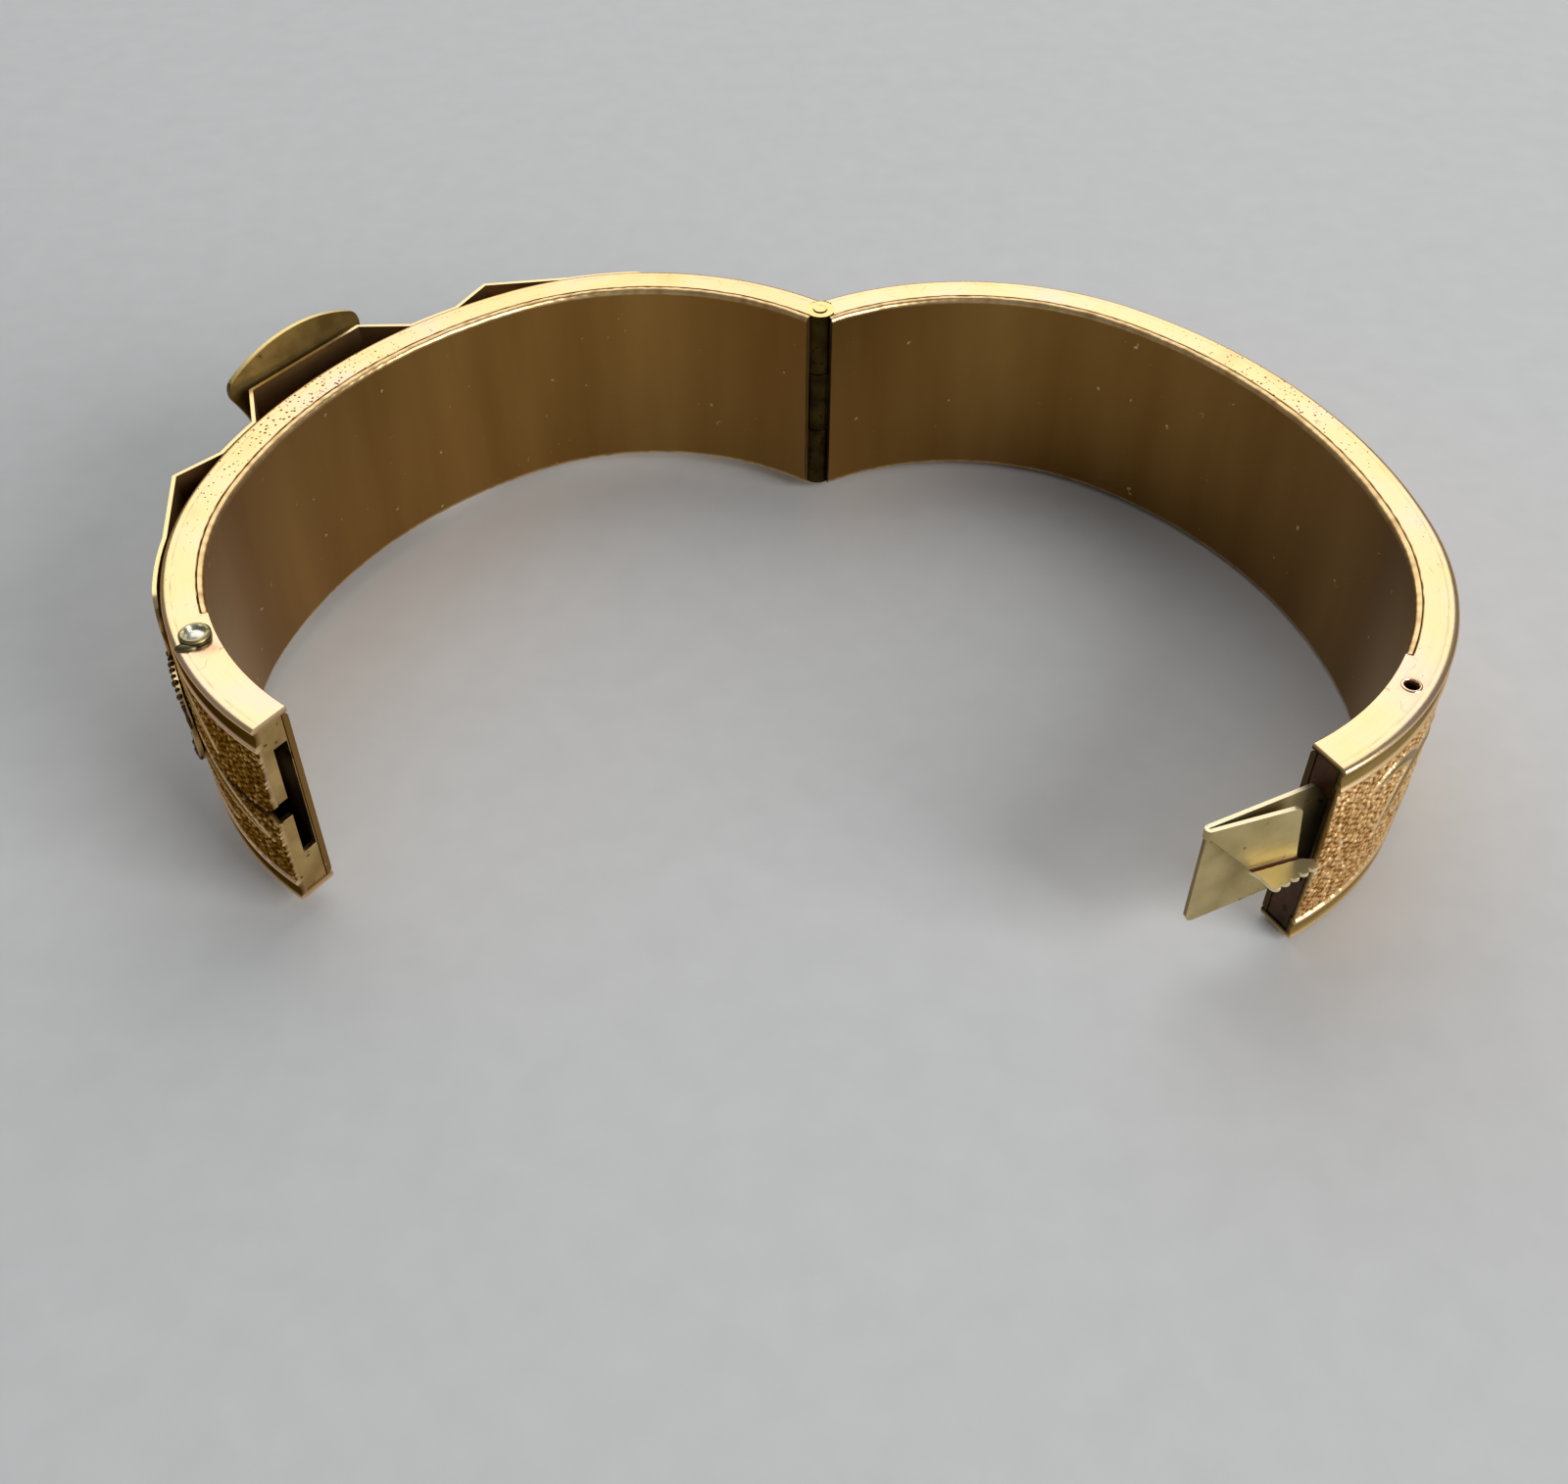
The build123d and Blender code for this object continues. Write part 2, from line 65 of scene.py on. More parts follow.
# %% Sizes of the band, in millimetres
INNER_LENGTH, INNER_WIDTH, END_SWEEP = 56.64, 46.6, radians(66.4)
WIDTH, DEPTH, HALF_OPENING = 17.0, 3.2, radians(34.0)
PIN_INSET, BARREL_RADIUS, KNUCKLE_GAP, SEAM, END_GAP, STOP_GAP = 1.76, 1.22, 0.1, 0.03, 0.1, 0.03
LINER, RIM_ROUND, SIDE_WALL, OUTER_WALL = 0.45, 0.4, 0.5, 0.4
CROWN, SHOULDER, ROLL, COVE_WIDTH, COVE_DEPTH = 0.22, 0.28, 0.5, 1.47, 0.2
RIDGE_WIDTH, RIDGE_HEIGHT, PLAIN_END = 0.32, 0.09, 11.6

half_length, half_width, middle_height = INNER_LENGTH / 2, INNER_WIDTH / 2, WIDTH / 2
end_shift = (half_length - half_width) / (1 + tan(END_SWEEP) - 1 / cos(END_SWEEP))
end_radius = half_length - end_shift
side_shift = end_shift * tan(END_SWEEP)
side_radius = half_width + side_shift
end_arc = END_SWEEP * end_radius
half_arc = 2 * end_arc + (pi - 2 * END_SWEEP) * side_radius
middle_arc = half_arc / 2
oval_y = -(PIN_INSET + half_length)
face = DEPTH - CROWN
liner_out = LINER + SEAM
border = SHOULDER + COVE_WIDTH + RIDGE_WIDTH
print("a half is", round(half_arc, 2), "mm long, with radii of", round(end_radius, 1), round(side_radius, 1))


# %% Points of the band
def outward(arc):
    """Angle of the band's outward direction, arc millimetres from the hinge."""
    marks = [0, end_arc, half_arc - end_arc, half_arc]
    return np.interp(arc, marks, [0, END_SWEEP, pi - END_SWEEP, pi])


def band(arc, out, height):
    """Points in the closed drawing of a half: x bulges outward, y runs from the clasp to the hinge."""
    arc, out, height = np.broadcast_arrays(np.asarray(arc, float), out, height)
    angle = outward(arc)
    ends = [arc < end_arc, arc > half_arc - end_arc]
    x = np.select(ends, [0, 0], -side_shift)
    y = oval_y + np.select(ends, [end_shift, -end_shift], 0)
    radius = out + np.select(ends, [end_radius, end_radius], side_radius)
    return np.stack([x + radius * np.sin(angle), y + radius * np.cos(angle), height], -1)


hinge = frame["joints"][0]
pin_place = np.array(hinge["pos_m"])
lean = np.array(Vector((0, 0, 1)).rotation_difference(Vector(hinge["axis"])).to_matrix())


def laid(points, side):
    """The closed drawing of a half, swung open and laid down, in metres. Side 1 is the tongue half."""
    x, y, z = side * points[..., 0], points[..., 1], points[..., 2] - middle_height
    turn = side * HALF_OPENING
    swung = np.stack([x * cos(turn) - y * sin(turn), x * sin(turn) + y * cos(turn), z], -1)
    return 0.001 * swung @ lean.T + pin_place


def drawn(vector, side, place=True):
    """The reverse of laid: a place, or with place False a direction, back in the closed drawing."""
    back = (1000 * (np.asarray(vector) - pin_place) if place else np.asarray(vector)) @ lean
    turn = -side * HALF_OPENING
    x = back[..., 0] * cos(turn) - back[..., 1] * sin(turn)
    y = back[..., 0] * sin(turn) + back[..., 1] * cos(turn)
    return np.stack([side * x, y, back[..., 2] + (middle_height if place else 0)], -1)


print("middle of the tongue half:", laid(band(middle_arc, 0, middle_height), 1).round(4))

# %% [markdown]
# ## Meshes from grids
#
# A sheet-metal skin is a grid: rows across the band, columns along it. Numpy makes the points and the
# faces at once, which is far quicker than adding them one by one. Each piece also keeps the place of
# every point as an attribute, so that a finish can run along the band as polishing does.


# %% Faces of grids
def grid(rows, columns, first=0, closed=False):
    """Faces of a grid of points stored row by row. A closed grid joins its last row to its first."""
    index = first + np.arange(rows * columns).reshape(rows, columns)
    if closed:
        index = np.vstack([index, index[:1]])
    corners = [index[:-1, :-1], index[1:, :-1], index[1:, 1:], index[:-1, 1:]]
    return np.stack(corners, -1).reshape(-1, 4)


def strip(first, second):
    """Faces between two equally long lines of point numbers."""
    first, second = np.asarray(first), np.asarray(second)
    return np.stack([first[:-1], second[:-1], second[1:], first[1:]], -1)


def joined(parts):
    """Several lists of points, each with its faces, as one."""
    starts = np.cumsum([0] + [len(points) for points, _ in parts])
    faces = [faces + start for (_, faces), start in zip(parts, starts)]
    return np.vstack([points for points, _ in parts]), np.vstack(faces)


print("a grid of 3 by 4 points has", len(grid(3, 4)), "faces")

# %% From points to a piece
BODY = {1: "tongue_half", -1: "catch_half"}
HALF = {1: "tongue", -1: "catch"}
WELD_M, SMOOTH_UP_TO = 2e-7, radians(38)


def placed(name, data):
    """An object in the scene for a mesh, a lamp or a lens."""
    thing = bpy.data.objects.new(name, data)
    bpy.context.scene.collection.objects.link(thing)
    return thing


def worked(mesh, weld_m, *steps):
    """Welds the doubled corners of a mesh, then works on its shape step by step."""
    shape = bmesh.new()
    shape.from_mesh(mesh)
    bmesh.ops.remove_doubles(shape, verts=shape.verts, dist=weld_m)
    for step in steps:
        step(shape)
    shape.to_mesh(mesh)
    shape.free()


def face_outward(shape):
    bmesh.ops.recalc_face_normals(shape, faces=shape.faces)


def finish_mesh(name, mesh, body, material, nodes):
    """Smooths a mesh, gives it its metal and fastens it to its body."""
    mesh.shade_smooth()
    mesh.set_sharp_from_angle(angle=SMOOTH_UP_TO)
    mesh.materials.clear()
    mesh.materials.append(material)
    piece = placed(name, mesh)
    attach(piece, body)
    if nodes:
        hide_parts(*nodes)
    print(name, "has", len(mesh.polygons), "faces")
    return piece


def make_piece(name, points, faces, side, slot, material, nodes=(), values=None, steps=()):
    """A piece of one half from points in the closed drawing. Values are numbers for each point or face."""
    mesh = bpy.data.meshes.new(name)
    mesh.from_pydata(laid(np.asarray(points), side).tolist(), [], [list(map(int, f)) for f in faces])
    for key, numbers in (values or {}).items():
        kind, unit = ("FLOAT", "value") if np.ndim(numbers) == 1 else ("FLOAT_VECTOR", "vector")
        layer = mesh.attributes.new(key, kind, "POINT" if len(numbers) == len(points) else "FACE")
        layer.data.foreach_set(unit, np.asarray(numbers, np.float32).ravel())
    worked(mesh, WELD_M, *steps, face_outward)
    return finish_mesh(name, mesh, BODY[side], material, nodes)


print("points are welded within", round(1e6 * WELD_M, 1), "micrometres")

# %% [markdown]
# ## Finishes
#
# All of it is brass, so every finish is fully metallic and keeps the usual index of refraction. What
# differs is how each surface was made and how it has aged: polished and plated, stamped, brushed,
# rolled, or toned brown where nobody rubs it. Several finishes also carry painted light and shade:
# lighter and darker tones in their colours that stand in for how light falls. Colours are written as
# hex codes, as a paint chart has them, and one function turns them into the linear numbers that the
# renderer wants.


# %% Colours and nodes
def linear(code):
    """An sRGB hex code as linear red, green, blue and alpha."""
    parts = [int(code[i : i + 2], 16) / 255 for i in (1, 3, 5)]
    return [p / 12.92 if p <= 0.04045 else ((p + 0.055) / 1.055) ** 2.4 for p in parts] + [1.0]


def node(tree, kind, inputs=(), take=0, stops=(), **settings):
    """Adds a node with its settings, sets or links its inputs, and gives back the output to take.

    Inputs are a list in the node's own order, or a dictionary. With take None it gives the node.
    """
    new = tree.nodes.new("ShaderNode" + kind)
    for key, value in settings.items():
        setattr(new, key, value)
    for key, value in inputs.items() if isinstance(inputs, dict) else enumerate(inputs):
        if isinstance(value, bpy.types.NodeSocket):
            tree.links.new(value, new.inputs[key])
        else:
            new.inputs[key].default_value = linear(value) if isinstance(value, str) else value
    for index, (place, code) in enumerate(stops):
        ramp = new.color_ramp.elements
        stop = ramp[index] if index < 2 else ramp.new(place)
        stop.position, stop.color = place, linear(code)
    return new if take is None else new.outputs[take]


def new_material(name):
    """An empty material and its node tree."""
    material = bpy.data.materials.new(name)
    material.use_nodes = True
    material.node_tree.nodes.clear()
    return material, material.node_tree


print("pale gilt in linear light:", [round(c, 3) for c in linear("#EBCD8C")])

# %% [markdown]
# ### What the metals share
#
# Old plated brass has three layers of detail. Clouds of slightly different tone, some centimetres to
# some millimetres across, come from toning. Hairlines a few hundredths of a millimetre wide run along
# the band from polishing; they are too fine for the render, so they are drawn three times coarser.
# Specks are where the plating failed. One function sets up these masks for a metal.

# %% Masks for aged metal
HAIRLINE_MM, GRIT_MM, BUMP_MM = 0.12, 0.16, 0.01
# A pattern is drawn out along the axis whose coordinate is squeezed
DRAWN_ALONG, DRAWN_ACROSS = (0.02, 1.0, 1.0), (1.0, 0.12, 0.0)
# A mix node mixes its inputs 6 and 7, when they are colours, and this output gives the result
COLOUR = 2


def masks(tree, cloud_mm, speck_mm=0.9, painted_reflection_streaks=False):
    """Where a point is, and clouds, specks and hairlines as values from 0 to 1."""
    where = node(tree, "TexCoord", take="Object")
    place = node(tree, "Attribute", take="Vector", attribute_name="place")
    along = node(tree, "VectorMath", [place, DRAWN_ALONG], operation="MULTIPLY")
    drift, scale = where, 1000 / cloud_mm
    # Clouds drawn out across the band into soft bands: partly toning, partly painted reflection
    if painted_reflection_streaks:
        drift = node(tree, "VectorMath", [place, DRAWN_ACROSS], operation="MULTIPLY")
        scale = 1 / cloud_mm
    noises = (drift, scale, 4.0), (where, 1000 / speck_mm, 3.0), (along, 1 / HAIRLINE_MM, 2.0)
    return where, *(
        node(tree, "TexNoise", {"Vector": vector, "Scale": scale, "Detail": detail})
        for vector, scale, detail in noises
    )


print("hairlines are drawn", HAIRLINE_MM, "mm wide")

# %% [markdown]
# ### Gilt brass, stamped and polished
#
# The outer sheet was stamped from the back into a steel die, plated with gold, and burnished where it
# is smooth. So the border and the side faces mirror the room, and the pattern's ground stays matt and
# toned orange-brown in its hollows, with the tops of the pellets rubbed bright; its tones also paint
# shade into the gaps and highlights onto the tops. The cove is painted dark as shade, and the leaves'
# flats are painted dark brown as a painted reflection. The tongue half has a lighter copy of this
# finish and the catch half a darker one, as painted light and shade. The relief itself is in the mesh;
# the mesh stores how high each point stands, and the finish reads that.
#
# Pits crowd where the plating has failed. They are 0.1 to 0.25 mm across, one or none to each cell of
# a pattern of cells. A scratch is a contour line of one noise, shown only where a second is high.

# %% Pits and scratches
# The sizes are radii, as shares of a cell
PIT_CELL_MM, PIT_SIZES = 0.4, (0.1, 0.31)
SCRATCH_WIDTH, SCRATCH_STRENGTH = 0.0035, 0.45


def pit_mask(tree, place, pitting):
    """1 inside a pit. The higher pitting is at a place, the more cells have one and the larger it is."""
    parts = node(tree, "SeparateXYZ", [place], None).outputs
    across = node(tree, "CombineXYZ", [parts["X"], parts["Z"]])
    cells = {"Vector": across, "Scale": 1 / PIT_CELL_MM}
    cells = node(tree, "TexVoronoi", cells, None, voronoi_dimensions="2D").outputs
    draw = node(tree, "SeparateColor", [cells["Color"]])
    odds = node(tree, "Math", [pitting, draw], operation="SUBTRACT")
    size = node(tree, "MapRange", [odds, 0.0, 0.5, *PIT_SIZES])
    edge = node(tree, "Math", [size, cells["Distance"]], operation="SUBTRACT")
    inside, is_drawn = (node(tree, "MapRange", limits) for limits in ([edge, 0.0, 0.06], [odds, 0.0, 0.01]))
    return node(tree, "Math", [inside, is_drawn], operation="MULTIPLY")


def scratch_mask(tree, place, ground):
    """Faint on the smooth parts, and nothing on the pattern's ground."""
    drift, here = (
        node(tree, "TexNoise", {"Vector": place, "Scale": scale, "Detail": 1.0}) for scale in (0.35, 0.9)
    )
    mask = node(tree, "Math", [drift, 0.5, SCRATCH_WIDTH], operation="COMPARE")
    for limits in ([here, 0.56, 0.62], [ground, 0.3, 0.0, 0.0, SCRATCH_STRENGTH]):
        mask = node(tree, "Math", [mask, node(tree, "MapRange", limits)], operation="MULTIPLY")
    return mask


print("pits per square centimetre, at most:", round((10 / PIT_CELL_MM) ** 2))


# %% Stamped gilt brass
def stamped_gilt_brass(name, ground_stops, dirt_and_shade_stops, graze):
    """Plated sheet. Its tones follow the relief, and graze is the tint of the metal seen edge on."""
    material, tree = new_material(name)
    where, clouds, specks, lines = masks(tree, 7.0, 0.8)
    relief, ground, flat, dirt_and_painted_shade, pitting, stain = (
        node(tree, "Attribute", take="Fac", attribute_name=key)
        for key in ("relief", "ground", "flat", "dirt_and_painted_shade", "pitting", "stain")
    )
    polished, stamped, toned, dirt_and_shade_tone = (
        node(tree, "ValToRGB", [mask], stops=stops)
        for mask, stops in (
            (clouds, [(0.3, "#F0CCB2"), (0.45, "#F2D0A4"), (0.6, "#F2CF98"), (0.75, "#E8C088")]),
            # The ground's tones follow the relief: partly toning and rubbing, partly painted shade in the
            # gaps and painted highlights on the pellets' tops
            (relief, ground_stops),
            # The leaves' flats are painted dark brown, a painted reflection of the dark room in front of them
            (specks, [(0.3, "#6E5E40"), (0.7, "#94825A")]),
            (clouds, dirt_and_shade_stops),
        )
    )
    spots, dirt_and_shade_share, dark = (
        node(tree, "MapRange", limits)
        for limits in ([specks, 0.66, 0.72, 0.0, 0.5], [dirt_and_painted_shade, 0.0, 1.0], [dirt_and_painted_shade, 1.0, 2.0])
    )
    place = node(tree, "Attribute", take="Vector", attribute_name="place")
    pits, scratches = pit_mask(tree, place, pitting), scratch_mask(tree, place, ground)
    spotted = node(tree, "Mix", {0: spots, 6: stamped, 7: "#6A5834"}, COLOUR, data_type="RGBA")
    grit = node(tree, "TexNoise", {"Vector": where, "Scale": 1000 / GRIT_MM, "Detail": 2.0})
    matting = node(tree, "Math", [grit, ground], operation="MULTIPLY")

    gilt, rough, height = polished, 0.16, lines
    # Over the polished tone: the ground, the leaves' flats with their painted reflection, the dirt and shade
    # tone (dirt in the seam and crease, painted shade in the cove), near black inside the sheet as painted
    # shade, then pits, the stain and scratches
    for share, over in ((ground, spotted), (flat, toned), (dirt_and_shade_share, dirt_and_shade_tone), (dark, "#120C05"),
                        (pits, "#80663E"), (stain, "#B0785C"), (scratches, "#8A6E44")):
        gilt = node(tree, "Mix", {0: share, 6: gilt, 7: over}, COLOUR, data_type="RGBA")
    for mask, weight in ((ground, 0.16), (dirt_and_painted_shade, 0.3), (lines, 0.16), (pits, 0.35)):
        rough = node(tree, "Math", [mask, weight, rough], operation="MULTIPLY_ADD")
    for mask, weight in ((matting, 4.0), (pits, -6.0)):
        height = node(tree, "Math", [mask, weight, height], operation="MULTIPLY_ADD")
    bump = node(tree, "Bump", {"Height": height, "Strength": 0.3, "Distance": BUMP_MM / 1000})
    surface = {"Metallic": 1.0, "Base Color": gilt, "Roughness": rough, "Normal": bump}
    surface = node(tree, "BsdfPrincipled", {**surface, "Specular Tint": graze})
    node(tree, "OutputMaterial", {"Surface": surface}, None)
    return material


# Painted light and shade: the tongue half gets a lighter copy of the stamped gilt and the catch half a darker
# one, with darker stops and a duller edge tint
STAMPED_GILT = {
    1: stamped_gilt_brass(
        "gilt_brass_stamped_painted_lit",
        [(0.22, "#70441C"), (0.45, "#DEA660"), (0.7, "#FFDCA4"), (0.9, "#FFF8DC")],
        [(0.3, "#7A6236"), (0.7, "#A48A54")],
        "#FAECD2",
    ),
    -1: stamped_gilt_brass(
        "gilt_brass_stamped_painted_shade",
        [(0.25, "#3A2812"), (0.5, "#7E5A2A"), (0.72, "#B08A50"), (0.88, "#FADCA8")],
        [(0.3, "#4E3A16"), (0.7, "#6E5426")],
        "#DCB88A",
    ),
}
print(STAMPED_GILT[1].name, "has", len(STAMPED_GILT[1].node_tree.nodes), "nodes")

# %% [markdown]
# ### The other brasses
#
# The liner was only scraped smooth and has toned to a satin dark olive gold, in faint streaks across
# the band; its rim is the pale, rubbed line beside the seam. The hinge and the end plates never see
# a polishing wheel. The tongue is hard rolled spring brass, paler and greener, because it holds more
# zinc. The stud was soft soldered, which leaves a grey skin. A sheet's cut edges are bright where it
# is handled, and its back is nearly black where no cloth ever reaches.


# %% Toned, brushed and rolled brasses
def toned_metal(name, tones, rough, cloud_mm=6.0, speck_share=0.7, painted_reflection_streaks=False):
    """A plain toned metal: two tones in clouds, its specks, a rubbed tone and a back tone.

    Each point's value runs from -1 to 1. Low values give the back tone, for places never rubbed and for
    painted shade; high values give the rubbed tone, for rubbed and polished places and for painted
    highlights.
    """
    low, high, speck, rubbed, hidden_and_shaded = tones.split()
    material, tree = new_material(name)
    _, clouds, specks, lines = masks(tree, cloud_mm, painted_reflection_streaks=painted_reflection_streaks)
    wear = node(tree, "Attribute", take="Fac", attribute_name="wear")
    uneven = node(tree, "Math", [lines, 0.5, clouds], operation="MULTIPLY_ADD")
    spots, rubbed_and_lit_share, unrubbed_and_shaded, satin, polish = (
        node(tree, "MapRange", limits)
        for limits in ([specks, speck_share - 0.05, speck_share], [wear, 0.0, 1.0], [wear, 0.0, -1.0],
                       [uneven, 0.3, 1.1, *rough], [wear, -1.0, 1.0, 0.08, -0.08])
    )
    tone = node(tree, "ValToRGB", [clouds], stops=[(0.36, low), (0.64, high)])
    # Besides real rubbing, the rubbed tone paints highlights on cut edges, and the back tone paints shade in
    # bends, on backs and on cut ends
    for share, over in ((spots, speck), (rubbed_and_lit_share, rubbed), (unrubbed_and_shaded, hidden_and_shaded)):
        tone = node(tree, "Mix", {0: share, 6: tone, 7: over}, COLOUR, data_type="RGBA")
    gloss = node(tree, "Math", [satin, polish], operation="ADD")
    bump = node(tree, "Bump", {"Height": uneven, "Strength": 0.35, "Distance": BUMP_MM / 1000})
    surface = {"Metallic": 1.0, "Base Color": tone, "Roughness": gloss, "Normal": bump}
    node(tree, "OutputMaterial", {"Surface": node(tree, "BsdfPrincipled", surface)}, None)
    return material


# The liner's streaks are partly toning and partly painted reflection in soft bands
liner_gilt = toned_metal(
    "gilt_brass_scraped_satin", "#8A6430 #A07A42 #E0C08C #E6C48C #0E0A05", (0.32, 0.44), 9.0, 0.76, True)
hinge_brass = toned_metal(
    "brass_turned_and_toned", "#30260E #4E3E1C #2A2214 #EFD08A #1E1608", (0.3, 0.5), 2.0, 0.66)
plate_brass = toned_metal(
    "brass_sawn_and_brushed", "#A2844E #C4A46A #6A5630 #DCC58C #3A2E16", (0.28, 0.42), 2.5)
# Painted shade: the tongue's end plate faces away from the lamps, and this darker copy of the plate brass
# paints that in
shaded_plate_brass = toned_metal(
    "brass_sawn_in_painted_shade", "#3C281A #583E2E #2E1E12 #B08A60 #22160A", (0.34, 0.5), 2.0)
spring_brass = toned_metal(
    "brass_rolled_spring", "#AE9C6A #CAB886 #8E7E56 #F8ECC6 #46221A", (0.42, 0.56), 3.5, 0.72)
solder = toned_metal(
    "tin_solder_over_brass", "#8E8458 #B0A474 #5E5840 #D8D4C4 #4A4638", (0.25, 0.45), 0.8, 0.68)
strap_gilt = toned_metal(
    "gilt_brass_folded_sheet", "#A08048 #C8A464 #5A4324 #EACE94 #BC9664", (0.25, 0.4), 5.0, 0.72)
plaque_brass = toned_metal(
    "brass_struck_and_toned", "#7C6638 #98804C #4E3E20 #F0D690 #30220E", (0.4, 0.55), 3.0)
leaf_brass = toned_metal(
    "brass_cast_relief", "#5A4424 #7A5C34 #3C2C18 #D9B878 #20160A", (0.3, 0.45), 1.5, 0.68)
print("the liner's metal has", len(liner_gilt.node_tree.nodes), "nodes")

# %% [markdown]
# ## The stamped outer sheet
#
# ### Its pattern
#
# The ground is matted with rows of small pellets, and slender leaves with a raised rim lie in it like
# reeds, a pattern that has been common on stamped bangles for a long time. A leaf is a bent line with
# a width that swells and tapers. For every point of the grid the nearest place on each leaf is found,
# and the distance to the leaf's edge gives the height: a flat inside, a rim, a groove, the ground.

# %% Leaves: root, bend and tip, in millimetres from the clasp and above the middle, and half width
CLASP_LEAVES = {
    1: [
        ((14.5, 0.5), (8.6, 7.2), (5.3, -2.6), 0.78),
        ((9.6, 2.0), (7.4, 6.0), (3.4, 4.0), 0.5),
        ((16.0, -2.4), (12.0, -5.6), (8.0, -1.6), 0.6),
    ],
    -1: [
        ((13.5, 3.4), (8.0, -0.6), (1.0, -2.6), 0.8),
        ((14.0, 0.4), (10.0, -5.4), (5.6, -4.4), 0.5),
        ((12.5, 5.0), (8.6, 5.6), (5.2, 2.6), 0.42),
    ],
}
SPRAY = [
    ((10.0, -0.6), (5.0, 7.6), (0.4, -2.2), 0.6),
    ((7.0, 2.6), (4.4, 6.4), (-0.6, 4.4), 0.42),
    ((12.0, 0.8), (9.0, 6.0), (5.4, 5.2), 0.4),
    ((12.4, -1.8), (8.4, -6.6), (2.8, -3.6), 0.5),
    ((14.6, 2.0), (13.0, -3.0), (9.0, -1.6), 0.28),
]
SPRAY_PITCH, FIRST_SPRAY, SPRAYS = 13.2, 15.5, 5


def leaves_of(side):
    """The leaves near the clasp, then the spray over and over, turned upside down every second time."""
    leaves = list(CLASP_LEAVES[side])
    for count in range(SPRAYS):
        flip, shift = 1 if count % 2 else -1, FIRST_SPRAY + count * SPRAY_PITCH
        for *places, width in SPRAY:
            leaves.append([(x + shift, flip * y) for x, y in places] + [width])
    return leaves


print("leaves on the tongue half:", len(leaves_of(1)))

# %% Relief of the pattern
GROUND_DEPTH, GROOVE_DEPTH, LEAF_DEPTH, RIM_WIDTH, PELLET = 0.15, 0.05, 0.07, 0.11, 0.44
FAR_OFF, REACH_OF_LEAF, STEPS_OF_LEAF, EDGE, FIELD_EDGE = 9.0, 2.0, 26, 0.1, 0.12
# Each pellet draws its place and size from its own row and column, so every run gives the same ones
SLANT, DRAWS, SCRAMBLE = (0.94, 0.34), ((12.99, 78.23), (39.35, 11.14), (73.16, 52.24)), 43758.5


def edge_distance(along, across, root, bend, tip, width):
    """Distance to the leaf's edge, below 0 inside it."""
    best = np.full(along.shape, FAR_OFF)
    for t in np.linspace(0, 1, STEPS_OF_LEAF):
        x, y = ((1 - t) ** 2 * root[i] + 2 * t * (1 - t) * bend[i] + t**2 * tip[i] for i in (0, 1))
        swell = width * sin(pi * t**0.8) ** 0.7 if 0 < t < 1 else 0
        best = np.minimum(best, np.hypot(along - x, across - y) - swell)
    return best


def pellets(along, across):
    """Uneven grains, 0 between them and 1 on top, in staggered rows that slant across the band."""
    u = (along * SLANT[0] + across * SLANT[1]) / PELLET
    v = (across * SLANT[0] - along * SLANT[1]) / (0.8 * PELLET)
    best = np.zeros(along.shape)
    for du, dv in ((i, j) for i in (-2, -1, 0, 1) for j in (-1, 0, 1)):
        column, row = np.floor(u) + du, np.floor(v) + dv
        chance = [np.mod(np.sin(column * a + row * b) * SCRAMBLE, 1.0) for a, b in DRAWS]
        x = column + 0.5 + 0.5 * (chance[0] - 0.5) + 0.5 * np.mod(row, 2)
        y = row + 0.5 + 0.42 * (chance[1] - 0.5)
        dome = 1 - ((u - x) ** 2 + (v - y) ** 2) / (0.4 + 0.14 * chance[2]) ** 2
        best = np.maximum(best, np.clip(dome, 0, 1) ** 0.6 * (0.5 + 0.5 * chance[2]))
    return best


def stamping(arc, height, side):
    """Depth in millimetres below the smooth face, and how much of each point is ground or leaf."""
    along, across = half_arc - arc, height - middle_height
    nearest = np.full(arc.shape, FAR_OFF)
    for leaf in leaves_of(side):
        reach = [x for x, _ in leaf[:3]]
        near = (along > min(reach) - REACH_OF_LEAF) & (along < max(reach) + REACH_OF_LEAF)
        nearest[near] = np.minimum(nearest[near], edge_distance(along[near], across[near], *leaf))
    ground = np.clip((nearest - RIM_WIDTH) / EDGE, 0, 1)
    flat = np.clip((-nearest - 0.6 * RIM_WIDTH) / EDGE, 0, 1)
    groove = np.exp(-(((nearest - 2.2 * RIM_WIDTH) / RIM_WIDTH) ** 2))
    field = np.clip((middle_height - border - np.abs(across)) / FIELD_EDGE, 0, 1)
    matted = GROUND_DEPTH * (1 - 0.9 * pellets(along, across)) + GROOVE_DEPTH * groove
    return (flat * LEAF_DEPTH + ground * matted) * field, ground * field, flat * field


print("the pattern is at most", GROUND_DEPTH + GROOVE_DEPTH, "mm deep")

# %% [markdown]
# ### Its section
#
# Across the band the sheet starts at the seam, runs flat over the side face, rounds the shoulder,
# dips into a cove, rises to a thin ridge, and then carries the patterned field. The same list of
# points, mirrored, gives the lower border. Each point has a partner on the inside of the sheet, so
# the sheet has its real thickness where it is cut at the clasp.

# %% Section of the outer sheet
SLIT_MIDDLE, SLIT_HEIGHT, SLIT_LENGTH, SLIT_MOUTH, SLIT_FLARE = 8.75, 0.7, 6.0, 1.7, 0.9
CHAIN_DEPTH, HOLE_STRIP, CREASE = 1.34, 0.74, 0.22
SEAM_ROWS, HOLE_ROW, QUARTER_TURN = 4, -6, np.linspace(0, pi / 2, 7)
crease_out = face - ROLL - CREASE


